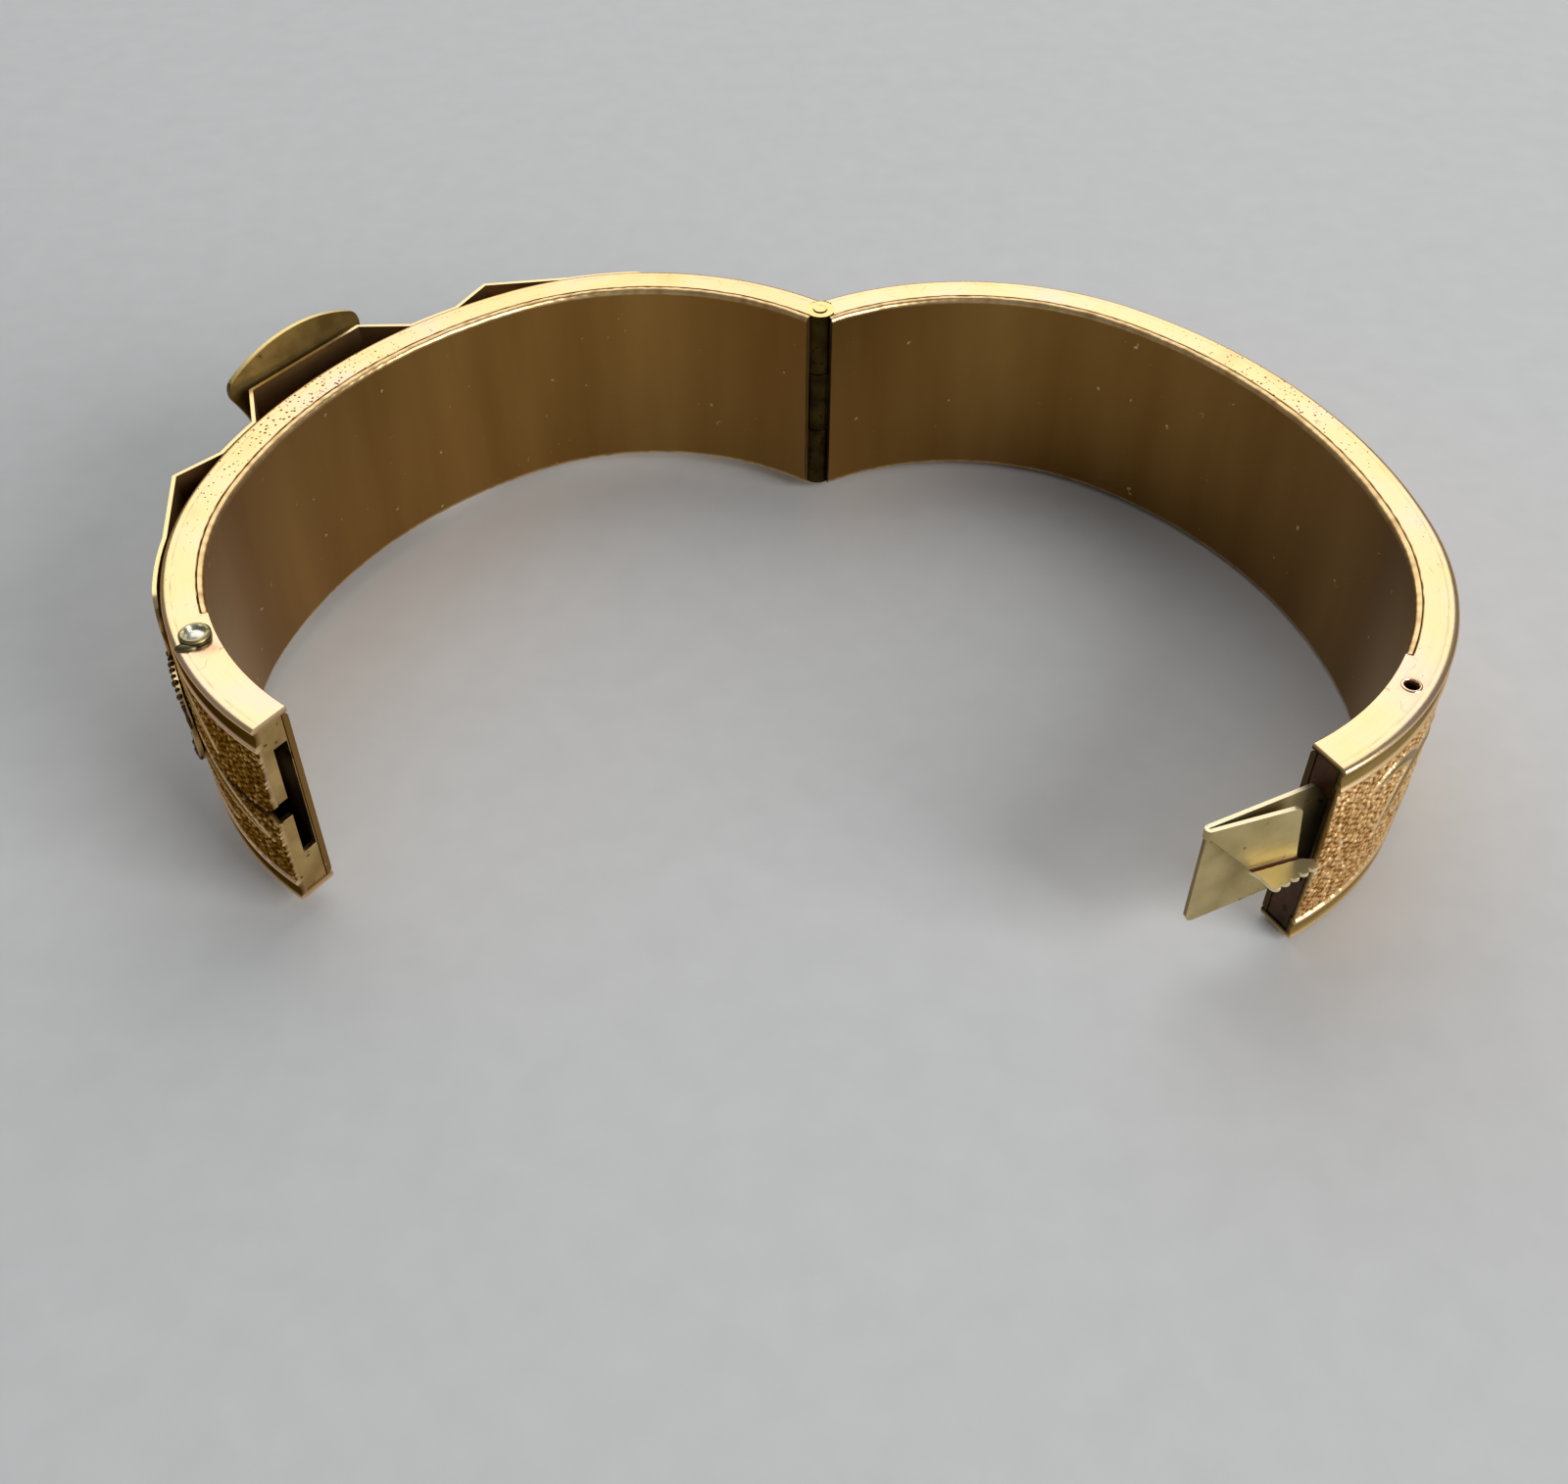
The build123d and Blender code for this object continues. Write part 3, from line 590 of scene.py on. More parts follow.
def border_section():
    """Out and down from the upper side face, from the seam to the foot of the ridge."""
    points = [(liner_out, SIDE_WALL), (liner_out, 0.09), (liner_out + 0.03, 0.03), (liner_out + 0.09, 0.0)]
    points += [(CHAIN_DEPTH - HOLE_STRIP, 0.0), (CHAIN_DEPTH + HOLE_STRIP, 0.0)]
    points += [(crease_out - 0.1, 0.0), (crease_out, 0.02), (crease_out + 0.06, 0.0)]
    points += [(face - ROLL * (1 - sin(a)), SHOULDER * (1 - cos(a))) for a in QUARTER_TURN]
    points += [(face - COVE_DEPTH * sin(pi * share**0.8) ** 1.3, SHOULDER + COVE_WIDTH * share)
               for share in np.linspace(0, 1, 7)[1:]]
    points += [(face + RIDGE_HEIGHT * sin(pi * share) ** 0.8, border - RIDGE_WIDTH * (1 - share))
               for share in np.linspace(0, 1, 6)[1:]]
    return np.array(points)


def crown_out(height):
    """How far out the smooth field stands at a height, on a shallow arch between the ridges."""
    reach = middle_height - border
    return face + CROWN * (1 - np.clip(np.abs(height - middle_height) / reach, 0, 1) ** 2)


def inside_of(out, height):
    """The partner of each point of the section on the inside of the sheet."""
    lid = (height < border) | (height > WIDTH - border)
    roof = np.where(lid, face - COVE_DEPTH - OUTER_WALL, face - OUTER_WALL)
    return np.minimum(out, roof), np.clip(height, SIDE_WALL, WIDTH - SIDE_WALL)


upper = border_section()
slit_low, slit_high = SLIT_MIDDLE - SLIT_HEIGHT / 2, SLIT_MIDDLE + SLIT_HEIGHT / 2
below = np.linspace(border, slit_low, 54)
through = np.linspace(slit_low, slit_high, 8)
above = np.linspace(slit_high, WIDTH - border, 52)
field = np.concatenate([below[1:], through[1:], above[1:-1]])
section_out = np.concatenate([upper[:, 0], crown_out(field), upper[::-1, 0]])
section_height = np.concatenate([upper[:, 1], field, WIDTH - upper[::-1, 1]])
slit_rows = len(upper) + len(below) - 2, len(upper) + len(below) + len(through) - 3
print("rows across the band:", len(section_out), "slit between rows", slit_rows)

# %% [markdown]
# ### Its ends
#
# At the clasp every row stops at a flat plane. At the hinge a row has to clear the barrel, and past
# the pin it stops on a slanting plane: these two slants meet when the bangle is fully open, and so
# they are its stop. A row's start is the furthest of the three. Columns lie closer together near the
# clasp, where the pattern is seen from near by.

# %% Where rows and columns lie
COLUMNS, PLAIN_STEP, FINE_STEP, FINE_STRETCH = 560, 0.163, 0.095, 13.0


def row_ends(out, side):
    """First and last arc of rows that lie out millimetres outside the inner face."""
    room = BARREL_RADIUS + (KNUCKLE_GAP if side > 0 else SEAM)
    past = out - PIN_INSET
    stop_corner = (END_GAP * cos(HALF_OPENING) - STOP_GAP) / sin(HALF_OPENING)
    slant = END_GAP + np.maximum(past - stop_corner, 0) * tan(HALF_OPENING)
    barrel = np.sqrt(np.maximum(room**2 - past**2, 0))
    radius = end_radius + out
    start = end_radius * np.arcsin(np.maximum(slant, barrel) / radius)
    return start, half_arc - end_radius * np.arcsin(END_GAP / radius)


fine, plain = FINE_STRETCH / FINE_STEP, (half_arc - FINE_STRETCH) / PLAIN_STEP
fine_columns, fine_start = int(COLUMNS * fine / (fine + plain)), 1 - FINE_STRETCH / half_arc
column_shares = np.concatenate([np.linspace(0, fine_start, COLUMNS - fine_columns)[:-1],
                                np.linspace(fine_start, 1, fine_columns + 1)])
print("columns along the band:", len(column_shares), "of which near the clasp", fine_columns)

# %% [markdown]
# ### Making the outer sheets
#
# The catch half is slit for the thumb-piece, and the tongue half has a hole for a safety chain, with
# the burr of its drill round it. Cutting with booleans would tear such a dense grid, so the slit is
# left out while the faces are listed, and the hole gets a small patch of its own. Hand work is never
# quite even, so one function draws a smooth uneven line, the same on every run.

# %% The chain hole
HOLE_FROM_CLASP, HOLE_RADIUS, HOLE_SIDES, HOLE_PATCH, PATCH_REACH_M = 8.9, 0.5, 40, 0.95, 0.0016
BURR = [(0.22, 0.0), (0.19, 0.05), (0.12, 0.08), (0.06, 0.075), (0.02, 0.03), (0.0, -0.02), (0.0, -SIDE_WALL)]


def waves(x, seed, count=5):
    """A smooth uneven line between about -1 and 1."""
    draw = np.random.default_rng(seed)
    total = np.zeros_like(x)
    for size in draw.uniform(0.6, 5.0, count):
        total += np.sin(x * 2 * pi / size + draw.uniform(0, 6.3))
    return total / count**0.5 / 1.4


def chain_hole(shape):
    """Cuts the hole in the strip left open for it, and raises its burr, ring by ring."""
    middle = band(half_arc - HOLE_FROM_CLASP, CHAIN_DEPTH, WIDTH)
    turns = np.linspace(0, 2 * pi, HOLE_SIDES, endpoint=False)
    rings = []
    for grow, rise in BURR:
        radius = HOLE_RADIUS + grow
        circle = middle + np.stack([radius * np.cos(turns), radius * np.sin(turns), 0 * turns + rise], -1)
        rings.append([shape.verts.new(p) for p in laid(circle, 1)])
    for ring, following in zip(rings, rings[1:]):
        for i in range(HOLE_SIDES):
            after = (i + 1) % HOLE_SIDES
            shape.faces.new((ring[i], ring[after], following[after], following[i]))
    middle = Vector(laid(middle, 1))
    open_edges = [e for e in shape.edges if len(e.link_faces) == 1
                  and all((v.co - middle).length < PATCH_REACH_M for v in e.verts)
                  and all(v not in rings[-1] for v in e.verts)]
    bmesh.ops.triangle_fill(shape, use_beauty=True, use_dissolve=False, edges=open_edges)


print("the chain hole is", 2 * HOLE_RADIUS, "mm wide, its burr", max(rise for _, rise in BURR), "mm high")


# %% Layout of an outer sheet
def lay_out(side):
    """Arc, out and height of each point, the first column of the plain end, and the slit's first."""
    start, stop = row_ends(section_out, side)
    arc = start[:, None] + (stop - start)[:, None] * column_shares[None, :]
    out, height = (np.repeat(values[:, None], COLUMNS, 1) for values in (section_out, section_height))

    # The side walls reach in to the inner face near the clasp, where the liner is tucked between them
    plain = np.searchsorted(arc[0], half_arc - PLAIN_END)
    seam_rows = [*range(SEAM_ROWS), *range(-SEAM_ROWS, 0)]
    arc[seam_rows, plain] = arc[seam_rows, plain - 1]
    out[seam_rows, plain:] -= liner_out

    # The slit flares where it opens, and the rows beside it give way
    from_end = (half_arc - arc) * (end_radius + DEPTH) / end_radius
    if side < 0:
        flare = np.interp(from_end, [END_GAP, END_GAP + SLIT_FLARE], [(SLIT_MOUTH - SLIT_HEIGHT) / 2, 0])
        yielding = np.interp(height, [border, slit_low, slit_high, WIDTH - border], [0, -1, 1, 0])
        height = height + yielding * flare
    return arc, out, height, plain, np.searchsorted(-from_end[slit_rows[0]], -SLIT_LENGTH)


def sheet_faces(side, arc, inside, coarse, slit_column):
    """Faces of the outside, of the lining and between them, and the points of the slit's walls.

    The lining has only the coarse columns, because nobody sees more of it than its ends.
    """
    rows, columns = arc.shape
    number = np.arange(arc.size).reshape(rows, columns)
    inner = arc.size + np.arange(rows * len(coarse)).reshape(rows, len(coarse))
    keep, lining_keep = (np.ones((rows - 1, count - 1), bool) for count in (columns, len(coarse)))
    cap = np.ones(rows - 1, bool)
    between, walls, foot = [], [], arc.size + inner.size
    if side < 0:
        first, last = slit_rows
        keep[first:last, slit_column:] = False
        lining_keep[first:last, np.searchsorted(coarse, slit_column):] = False
        cap[first:last] = False
        edges = [(row, slice(slit_column, None)) for row in slit_rows]
        for edge in [*edges, (slice(first, last + 1), slit_column)]:
            walls.append(inside[edge])
            between.append(strip(number[edge], foot + np.arange(len(walls[-1]))))
            foot += len(walls[-1])
    else:
        middles = (arc[HOLE_ROW, :-1] + arc[HOLE_ROW, 1:]) / 2
        keep[rows + HOLE_ROW] = np.abs(middles - (half_arc - HOLE_FROM_CLASP)) >= HOLE_PATCH
    between += [strip(number[:, 0], inner[:, 0]), strip(number[:, -1], inner[:, -1])[cap]]
    between += [strip(number[row][coarse], inner[row]) for row in (0, -1)]
    skin = grid(rows, columns).reshape(rows - 1, -1, 4)[keep]
    lining = grid(rows, len(coarse), arc.size).reshape(rows - 1, -1, 4)[lining_keep]
    return np.vstack([skin, lining, *between]), walls


print("rows that reach in at the plain end:", 2 * SEAM_ROWS)

# %% Dirt, painted shade, pits and a stain
STUD_FROM_CLASP, STAIN, BESIDE, STAIN_OUT, STAIN_SIZE = 9.5, 0.8, 1.5, 0.9, (0.5, 0.45)
# Where most pits are, in millimetres from the hinge, how far they spread, and how many there are
COVE_SHADE_EDGE, FEWEST_PITS, PITTED = 0.12, 0.03, {1: (39.5, 8.0, 0.45), -1: (46.0, 11.0, 0.6)}


def blemishes(side, arc, out, height):
    """How much dirt, painted shade, pitting and stain each point of an outer sheet has."""
    from_face = np.minimum(height, WIDTH - height)

    # Dirt lies in the crease and in the seam against the liner, whose edge is uneven, and the cove is
    # darkened with painted shade
    foot = np.clip((border - RIDGE_WIDTH - from_face) / COVE_SHADE_EDGE, 0, 1)
    cove = np.clip((from_face - 0.9 * SHOULDER) / 0.25, 0, 1) * foot
    seam = (out < liner_out + 0.1) & (from_face < SIDE_WALL / 2) & (arc < half_arc - PLAIN_END)
    dirt_and_painted_shade = np.where(out > face - COVE_DEPTH - 0.1, cove, seam * (0.75 + 0.4 * waves(arc, 11 + side)))
    creased = (np.abs(out - crease_out) < 0.02) & (from_face < 0.05)
    dirt_and_painted_shade = dirt_and_painted_shade + creased * np.clip(0.2 + 0.2 * waves(arc, 31 + side, 7), 0, 1)

    middle, spread, share = PITTED[side]
    pits = FEWEST_PITS + share * np.exp(-(((arc - middle) / spread) ** 2))
    pits *= (from_face < 0.5 * SHOULDER) & (out < face - 0.3 * ROLL)
    along = (half_arc - arc - STUD_FROM_CLASP + BESIDE) / STAIN_SIZE[0]
    beside_stud = np.exp(-(along**2 + ((out - STAIN_OUT) / STAIN_SIZE[1]) ** 2))
    stain = STAIN * beside_stud * (side < 0) * (height > WIDTH - SHOULDER)
    return np.clip(dirt_and_painted_shade, 0, 1), pits, stain


print("most pits, in millimetres from the hinge:", {HALF[side]: row[0] for side, row in PITTED.items()})


# %% Outer sheets
# The lining's columns are further apart, and it is less dark where light gets in at the clasp
LINING_STEPS, LIT_OVER, LIT_END, UNSEEN = (20, 12), [0.5, 3.0], {1: 2.0, -1: 0.6}, 2.0


def outer_sheet(side):
    """The stamped sheet of one half, with its side walls and its real thickness."""
    arc, out, height, plain, slit_column = lay_out(side)
    on_field = (height > border) & (height < WIDTH - border)
    depth, ground, flat = (values * on_field for values in stamping(arc, height, side))
    inside = band(arc, *inside_of(out, height))
    coarse = np.unique([*range(0, slit_column, LINING_STEPS[0]), plain - 1, plain,
                        *range(slit_column, COLUMNS, LINING_STEPS[1]), COLUMNS - 1])
    faces, walls = sheet_faces(side, arc, inside, coarse, slit_column)
    lining = inside[:, coarse].reshape(-1, 3)
    points = np.vstack([band(arc, out - depth, height).reshape(-1, 3), lining, *walls])
    rest = len(points) - arc.size

    dirt_and_painted_shade, pits, stain = blemishes(side, arc, out, height)
    lit_end = np.interp(half_arc - arc[:, coarse], LIT_OVER, [LIT_END[side], UNSEEN]).ravel()
    outside = {"relief": (1 - depth / (GROUND_DEPTH + GROOVE_DEPTH), 1.0), "ground": (ground, 0.0),
               "flat": (flat, 0.0), "pitting": (pits * (1 - ground), 0.0), "stain": (stain, 0.0)}
    values = {key: np.append(numbers, np.full(rest, back)) for key, (numbers, back) in outside.items()}
    values["dirt_and_painted_shade"] = np.concatenate([dirt_and_painted_shade.ravel(), lit_end, np.full(rest - lit_end.size, UNSEEN)])
    values["place"] = np.vstack([np.stack([arc, height, out], -1).reshape(-1, 3), np.zeros((rest, 3))])
    return make_piece(HALF[side] + "_outer_sheet", points, faces, side, "gilt_outside", STAMPED_GILT[side],
                      [HALF[side] + "_shell"], values, [chain_hole] if side > 0 else [])


for side in (1, -1):
    outer_sheet(side)

# %% [markdown]
# ## The liners
#
# The liner is a plain strip. Its rims were rounded over with a burnisher and stand a little proud of
# the seam, and the hand work shows: the rim is never quite even. Near the clasp the liner is cut
# narrower and tucks between the side walls.


# %% Section of the liner
def liner_ring():
    """Out and height round the section: the inner face, a rim, the back and the other rim."""
    width = WIDTH - 2 * RIM_ROUND
    heights = np.concatenate([[0, 0.1, 0.25], np.linspace(1.2, width - 1.2, 9)])
    heights = np.concatenate([heights, width - heights[2::-1]])
    rim = [(RIM_ROUND * (1 - cos(a)), RIM_ROUND * (1 - sin(a))) for a in QUARTER_TURN]
    ring = [(0.0, RIM_ROUND + height) for height in heights]
    ring += [(out, WIDTH - height) for out, height in rim[1:]]
    ring += [(LINER, height) for height in (WIDTH, WIDTH - 0.3, middle_height, 0.3, 0.0)]
    return np.array(ring + rim[:0:-1])


print("points round the liner's section:", len(liner_ring()))

# %% Liners
LINER_COLUMNS, TUCK_START, UNEVEN_RIM = 620, half_arc - PLAIN_END - SEAM, 0.02
# Painted light: the liner is lightened towards the clasp, more on the tongue half, and its cut end at the
# clasp is painted dark as shade, darker on the tongue half
LIGHTENED_FROM_CLASP, LIGHTENED_OVER = 26, 16
NEAR_CLASP_PAINTED_LIGHT, CUT_END_PAINTED_SHADE = {1: 0.8, -1: 0.42}, {1: -0.75, -1: -0.15}


def liner(side):
    """Inner sheet as a closed ring of rows: its rims rubbed bright, its back painted dark as shade, and a
    painted lighter zone near the clasp.
    """
    ring = liner_ring()
    start, stop = row_ends(ring[:, 0], side)
    arc = start[:, None] + (stop - start)[:, None] * np.linspace(0, 1, LINER_COLUMNS)[None, :]
    out, height = (np.repeat(ring[:, i : i + 1], LINER_COLUMNS, 1) for i in (0, 1))
    rim = (np.abs(height - middle_height) > middle_height - RIM_ROUND * 0.9) & (out < LINER)
    height -= rim * np.sign(height - middle_height) * UNEVEN_RIM * (1 + waves(arc, 4 + side))
    tuck = np.searchsorted(arc[0], TUCK_START)
    arc[:, tuck] = arc[:, tuck - 1]
    narrow = (middle_height - SIDE_WALL - SEAM) / middle_height
    height[:, tuck:] = middle_height + narrow * (height[:, tuck:] - middle_height)
    points = band(arc, out, height).reshape(-1, 3)
    number = np.arange(len(points)).reshape(arc.shape)
    faces = grid(*arc.shape, closed=True).tolist() + [number[:, 0].tolist(), number[::-1, -1].tolist()]

    nicks = 0.85 + 0.3 * waves(arc, 21 + side, 9)
    rubbed = np.clip((np.abs(height - middle_height) - (middle_height - 1.1 * RIM_ROUND)) / 0.1, 0, 1) * nicks
    # Painted light: lighter towards the clasp
    near_clasp = NEAR_CLASP_PAINTED_LIGHT[side] * np.clip((arc - half_arc + LIGHTENED_FROM_CLASP) / LIGHTENED_OVER, 0, 1)
    wear = np.maximum(np.where(arc < TUCK_START, rubbed, 0), near_clasp)
    # The liner's back is painted nearly black as shade, and lighter within 3 mm of the clasp as painted light
    wear = np.where(out == LINER, np.interp(half_arc - arc, [1.2, 3.0], [0.5, -1.0]), wear)
    # The cut end at the clasp gets painted shade
    wear[:, -1] = CUT_END_PAINTED_SHADE[side]
    place = np.stack([arc, height, out], -1).reshape(-1, 3)
    return make_piece(HALF[side] + "_inner_sheet", points, faces, side, "gilt_inside", liner_gilt,
                      [HALF[side] + "_liner"], {"place": place, "wear": wear.ravel()})


for side in (1, -1):
    liner(side)

# %% [markdown]
# ## Hinge, end plates, stud, strap and plaque
#
# These small pieces have the right shape already, but their edges are mathematically sharp, which no
# filed and tumbled edge is. Each is copied, its doubled corners are welded, and a narrow bevel
# catches the light the way a real edge does. A facet's direction and place say how worn it is, and on
# the end plates, the plaque and the strap also where its edges are painted bright as highlights.


# %% How worn each facet is, and where its edges get painted highlights, from its normal and middle in the closed drawing
def polished_top(normal, middle):
    """The hinge is polished with the side faces of the band."""
    return 1.0 if abs(normal[2]) > 0.9 and abs(middle[2] - middle_height) > middle_height - 0.2 else -0.2


def sheet_highlights_and_shade(normal, middle):
    """A sheet: its cut edges are painted bright as highlights, and the side towards the band is dark."""
    away = np.array([middle[0], middle[1] - oval_y])
    facing = normal[:2] @ away / np.hypot(*away)
    if abs(normal[2]) > 0.7:
        return 1.0
    return -1.0 if facing < -0.1 else 0.0


def cut_edges(normal, middle):
    """A plate: its edges that face up or down are painted bright, as highlights."""
    return 0.8 if abs(normal[2]) > 0.7 else 0.0


DISH_RADIUS, DISH_LOW = 0.62, 0.25
stud_place = band(half_arc - STUD_FROM_CLASP, CHAIN_DEPTH, WIDTH)


def stud_wear(normal, middle):
    """The stud: its domed middle is silvery, its rim olive, and its side dark with solder."""
    away = middle - stud_place
    facing_in = abs(normal[2]) < 0.75 and away[2] > DISH_LOW and normal[:2] @ away[:2] < 0
    if np.hypot(*away[:2]) < DISH_RADIUS or facing_in:
        return 1.0
    return -0.9 if abs(normal[2]) < 0.5 and (normal[1] < 0.3 or away[2] < 0.3) else 0.0


print("wear of an edge that faces up:", cut_edges((0, 0, 1), None))

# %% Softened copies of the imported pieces
FILED_FROM, COPY_WELD_M = radians(32), 2e-6


def filed(piece, edge_mm):
    """A narrow bevel, which catches the light as a filed edge does."""
    bevel = piece.modifiers.new("filed edges", "BEVEL")
    bevel.width, bevel.segments, bevel.limit_method = edge_mm / 1000, 2, "ANGLE"
    bevel.angle_limit, bevel.use_clamp_overlap = FILED_FROM, True
    piece.modifiers.new("flat faces stay flat", "WEIGHTED_NORMAL").keep_sharp = True
    return piece


def softened(node_name, side, material, edge_mm, wear):
    """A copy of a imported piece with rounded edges, which then stands for it."""
    mesh = frame["nodes"][node_name].data.copy()
    worked(mesh, COPY_WELD_M)
    normals = drawn(np.array([face.normal for face in mesh.polygons]), side, place=False)
    middles = drawn(np.array([face.center for face in mesh.polygons]), side)
    worn_and_lit = [wear(normal, middle) for normal, middle in zip(normals, middles)]
    mesh.attributes.new("wear", "FLOAT", "FACE").data.foreach_set("value", np.array(worn_and_lit, np.float32))
    return filed(finish_mesh(node_name + "_filed", mesh, BODY[side], material, [node_name]), edge_mm)


softened("catch_knuckles", -1, hinge_brass, 0.05, polished_top)
softened("tongue_knuckle", 1, hinge_brass, 0.05, polished_top)
softened("hinge_pin", -1, hinge_brass, 0.12, polished_top)
softened("catch_mouth", -1, plate_brass, 0.015, cut_edges)
softened("tongue_plate", 1, shaded_plate_brass, 0.015, cut_edges)
softened("chain_stud", -1, solder, 0.05, stud_wear)
softened("ornament_strap", -1, strap_gilt, 0.04, sheet_highlights_and_shade)
softened("ornament_plaque", -1, plaque_brass, 0.05, cut_edges)

# %% [markdown]
# ## The applied leaves
#
# Each long slope of the strap carries a small cast leaf, set upright. It is domed, with a midrib and
# slanting veins, and its high places are rubbed.

# %% Leaves
LEAF_HEIGHT, LEAF_WIDTH, LEAF_DOME, LEAF_PLACE, LEAF_LIFT, TAPER = 11.5, 2.4, 0.33, 0.6, 0.2, 0.5
PEAK, FOOT = (14.9, 5.347), (20.79, 3.4)
LEAF_ROWS, LEAF_COLUMNS, VEIN_HEIGHT, VEIN_PITCH, RIB_HEIGHT, RIB_WIDTH = 160, 33, 0.05, 0.95, 0.08, 0.12
LEAF_EDGE, UP = 0.05, np.array([0, 0, 1.0])


def cast_leaf(end, node_name):
    """A domed leaf on the slope on one side of the strap's middle: end -1 to the hinge, 1 to the clasp."""
    top, bottom = (band(middle_arc + end * run, out, middle_height) for run, out in (PEAK, FOOT))
    slope = (bottom - top) / np.linalg.norm(bottom - top)
    away = np.cross(slope, UP)
    away *= np.sign(away[0])
    middle = top + (bottom - top) * LEAF_PLACE + away * LEAF_LIFT
    radius = (LEAF_HEIGHT**2 + LEAF_WIDTH**2) / (4 * LEAF_WIDTH)
    z = np.linspace(-LEAF_HEIGHT / 2, LEAF_HEIGHT / 2, LEAF_ROWS)[:, None]
    half = np.sqrt(radius**2 - z**2) - radius + LEAF_WIDTH / 2
    share = np.linspace(-1, 1, LEAF_COLUMNS)[None, :]
    x = half * share
    taper = np.clip(half / TAPER, 0, 1)
    dome = LEAF_DOME * np.clip(1 - share**2, 0, 1) ** 0.6 * taper
    veins = VEIN_HEIGHT * np.cos(2 * pi * (z - 0.9 * np.abs(x)) / VEIN_PITCH) * taper * (1 - share**2)
    rib = RIB_HEIGHT * np.exp(-((x / RIB_WIDTH) ** 2)) * taper
    rise = np.maximum(dome + veins + rib, 0)
    line = middle + slope * x[..., None] + UP * (z + 0 * x)[..., None]
    skin = line + away * (LEAF_EDGE + rise)[..., None]
    points = np.vstack([skin.reshape(-1, 3), line.reshape(-1, 3)])
    number = np.arange(len(points)).reshape(2, *x.shape)
    faces = np.vstack([grid(*x.shape), grid(*x.shape, x.size), strip(number[0, :, 0], number[1, :, 0]),
                       strip(number[0, :, -1], number[1, :, -1])])
    wear = np.concatenate([np.clip((veins + rib) / 0.1, -0.6, 0.5).ravel(), np.full(x.size, -1.0)])
    return make_piece(node_name + "_cast", points, faces, -1, "leaf_brass", leaf_brass, [node_name],
                      {"wear": wear})


cast_leaf(-1, "ornament_leaf_hinge_side")
cast_leaf(1, "ornament_leaf_clasp_side")

# %% [markdown]
# ## The spring tongue
#
# One strip of hard brass, folded back on itself: the base leaf is soldered into the end plate, and the
# return leaf springs out from it and locks behind the catch. Below its diagonal the return leaf is cut
# away, and its foot is bent out into a thumb-piece with a scalloped edge. Three sheets share their
# edges at the fold: the base leaf, the fold itself and the return leaf with the thumb-piece.

# %% Base leaf and fold
SHEET, REACH, ROOT, OFFSET, LEAN, SPLAY = 0.3, 8.0, 2.4, 0.88, radians(5.2), radians(7.3)
FOLD_RADIUS, FOLD_HEIGHT, TONGUE_LOW, TONGUE_HIGH, LOW_CORNER = 0.2, 0.8, 4.3, 13.9, 0.7
BASE_ROWS, BASE_COLUMNS, FOLD_ROWS, FOLD_COLUMNS = 30, 50, 6, 13
clasp_y = -(PIN_INSET + 2 * half_length)


def base_y(x):
    return clasp_y - OFFSET - x * tan(LEAN)


def base_leaf():
    """From its root to the fold, with the lower corner rounded."""
    x = np.linspace(ROOT, -REACH, BASE_COLUMNS)
    reach = np.clip(LOW_CORNER - (x + REACH), 0, LOW_CORNER)
    low = TONGUE_LOW + LOW_CORNER - np.sqrt(np.clip(LOW_CORNER**2 - reach**2, 0, None))
    share = np.linspace(0, 1, BASE_ROWS)[:, None]
    z = low + (TONGUE_HIGH - low) * share
    return np.stack([np.broadcast_to(x, z.shape), np.broadcast_to(base_y(x), z.shape), z], -1)


def fold():
    """Half a turn at the end of the base leaf, only as high as the return leaf is there."""
    turn = np.linspace(0, pi, FOLD_COLUMNS)
    x = -REACH - FOLD_RADIUS * np.sin(turn)
    y = base_y(-REACH) - FOLD_RADIUS * (1 - np.cos(turn))
    z = np.linspace(TONGUE_HIGH - FOLD_HEIGHT, TONGUE_HIGH, FOLD_ROWS)[:, None] + 0 * x
    return np.stack([x + 0 * z, y + 0 * z, z], -1)


print("points of the base leaf:", base_leaf().shape[:2], "of the fold:", fold().shape[:2])

# %% Return leaf and thumb-piece
SETBACK, SLOPE, TOP_CORNER, BEND = 1.05, 0.7, 0.5, 0.32
THUMB_START, THUMB_END, THUMB_RISE, THUMB_DROOP, LOBES = 4.3, 0.3, 0.49, 0.04, 5
EDGE_ROWS, FACE_ROWS, BEND_ROWS, THUMB_ROWS, RETURN_COLUMNS = 12, 31, 7, 15, 61
thumb_low, fold_low = SLIT_MIDDLE, TONGUE_HIGH - FOLD_HEIGHT


def return_y(x):
    return base_y(-REACH) - 2 * FOLD_RADIUS - (x + REACH) * tan(LEAN + SPLAY)


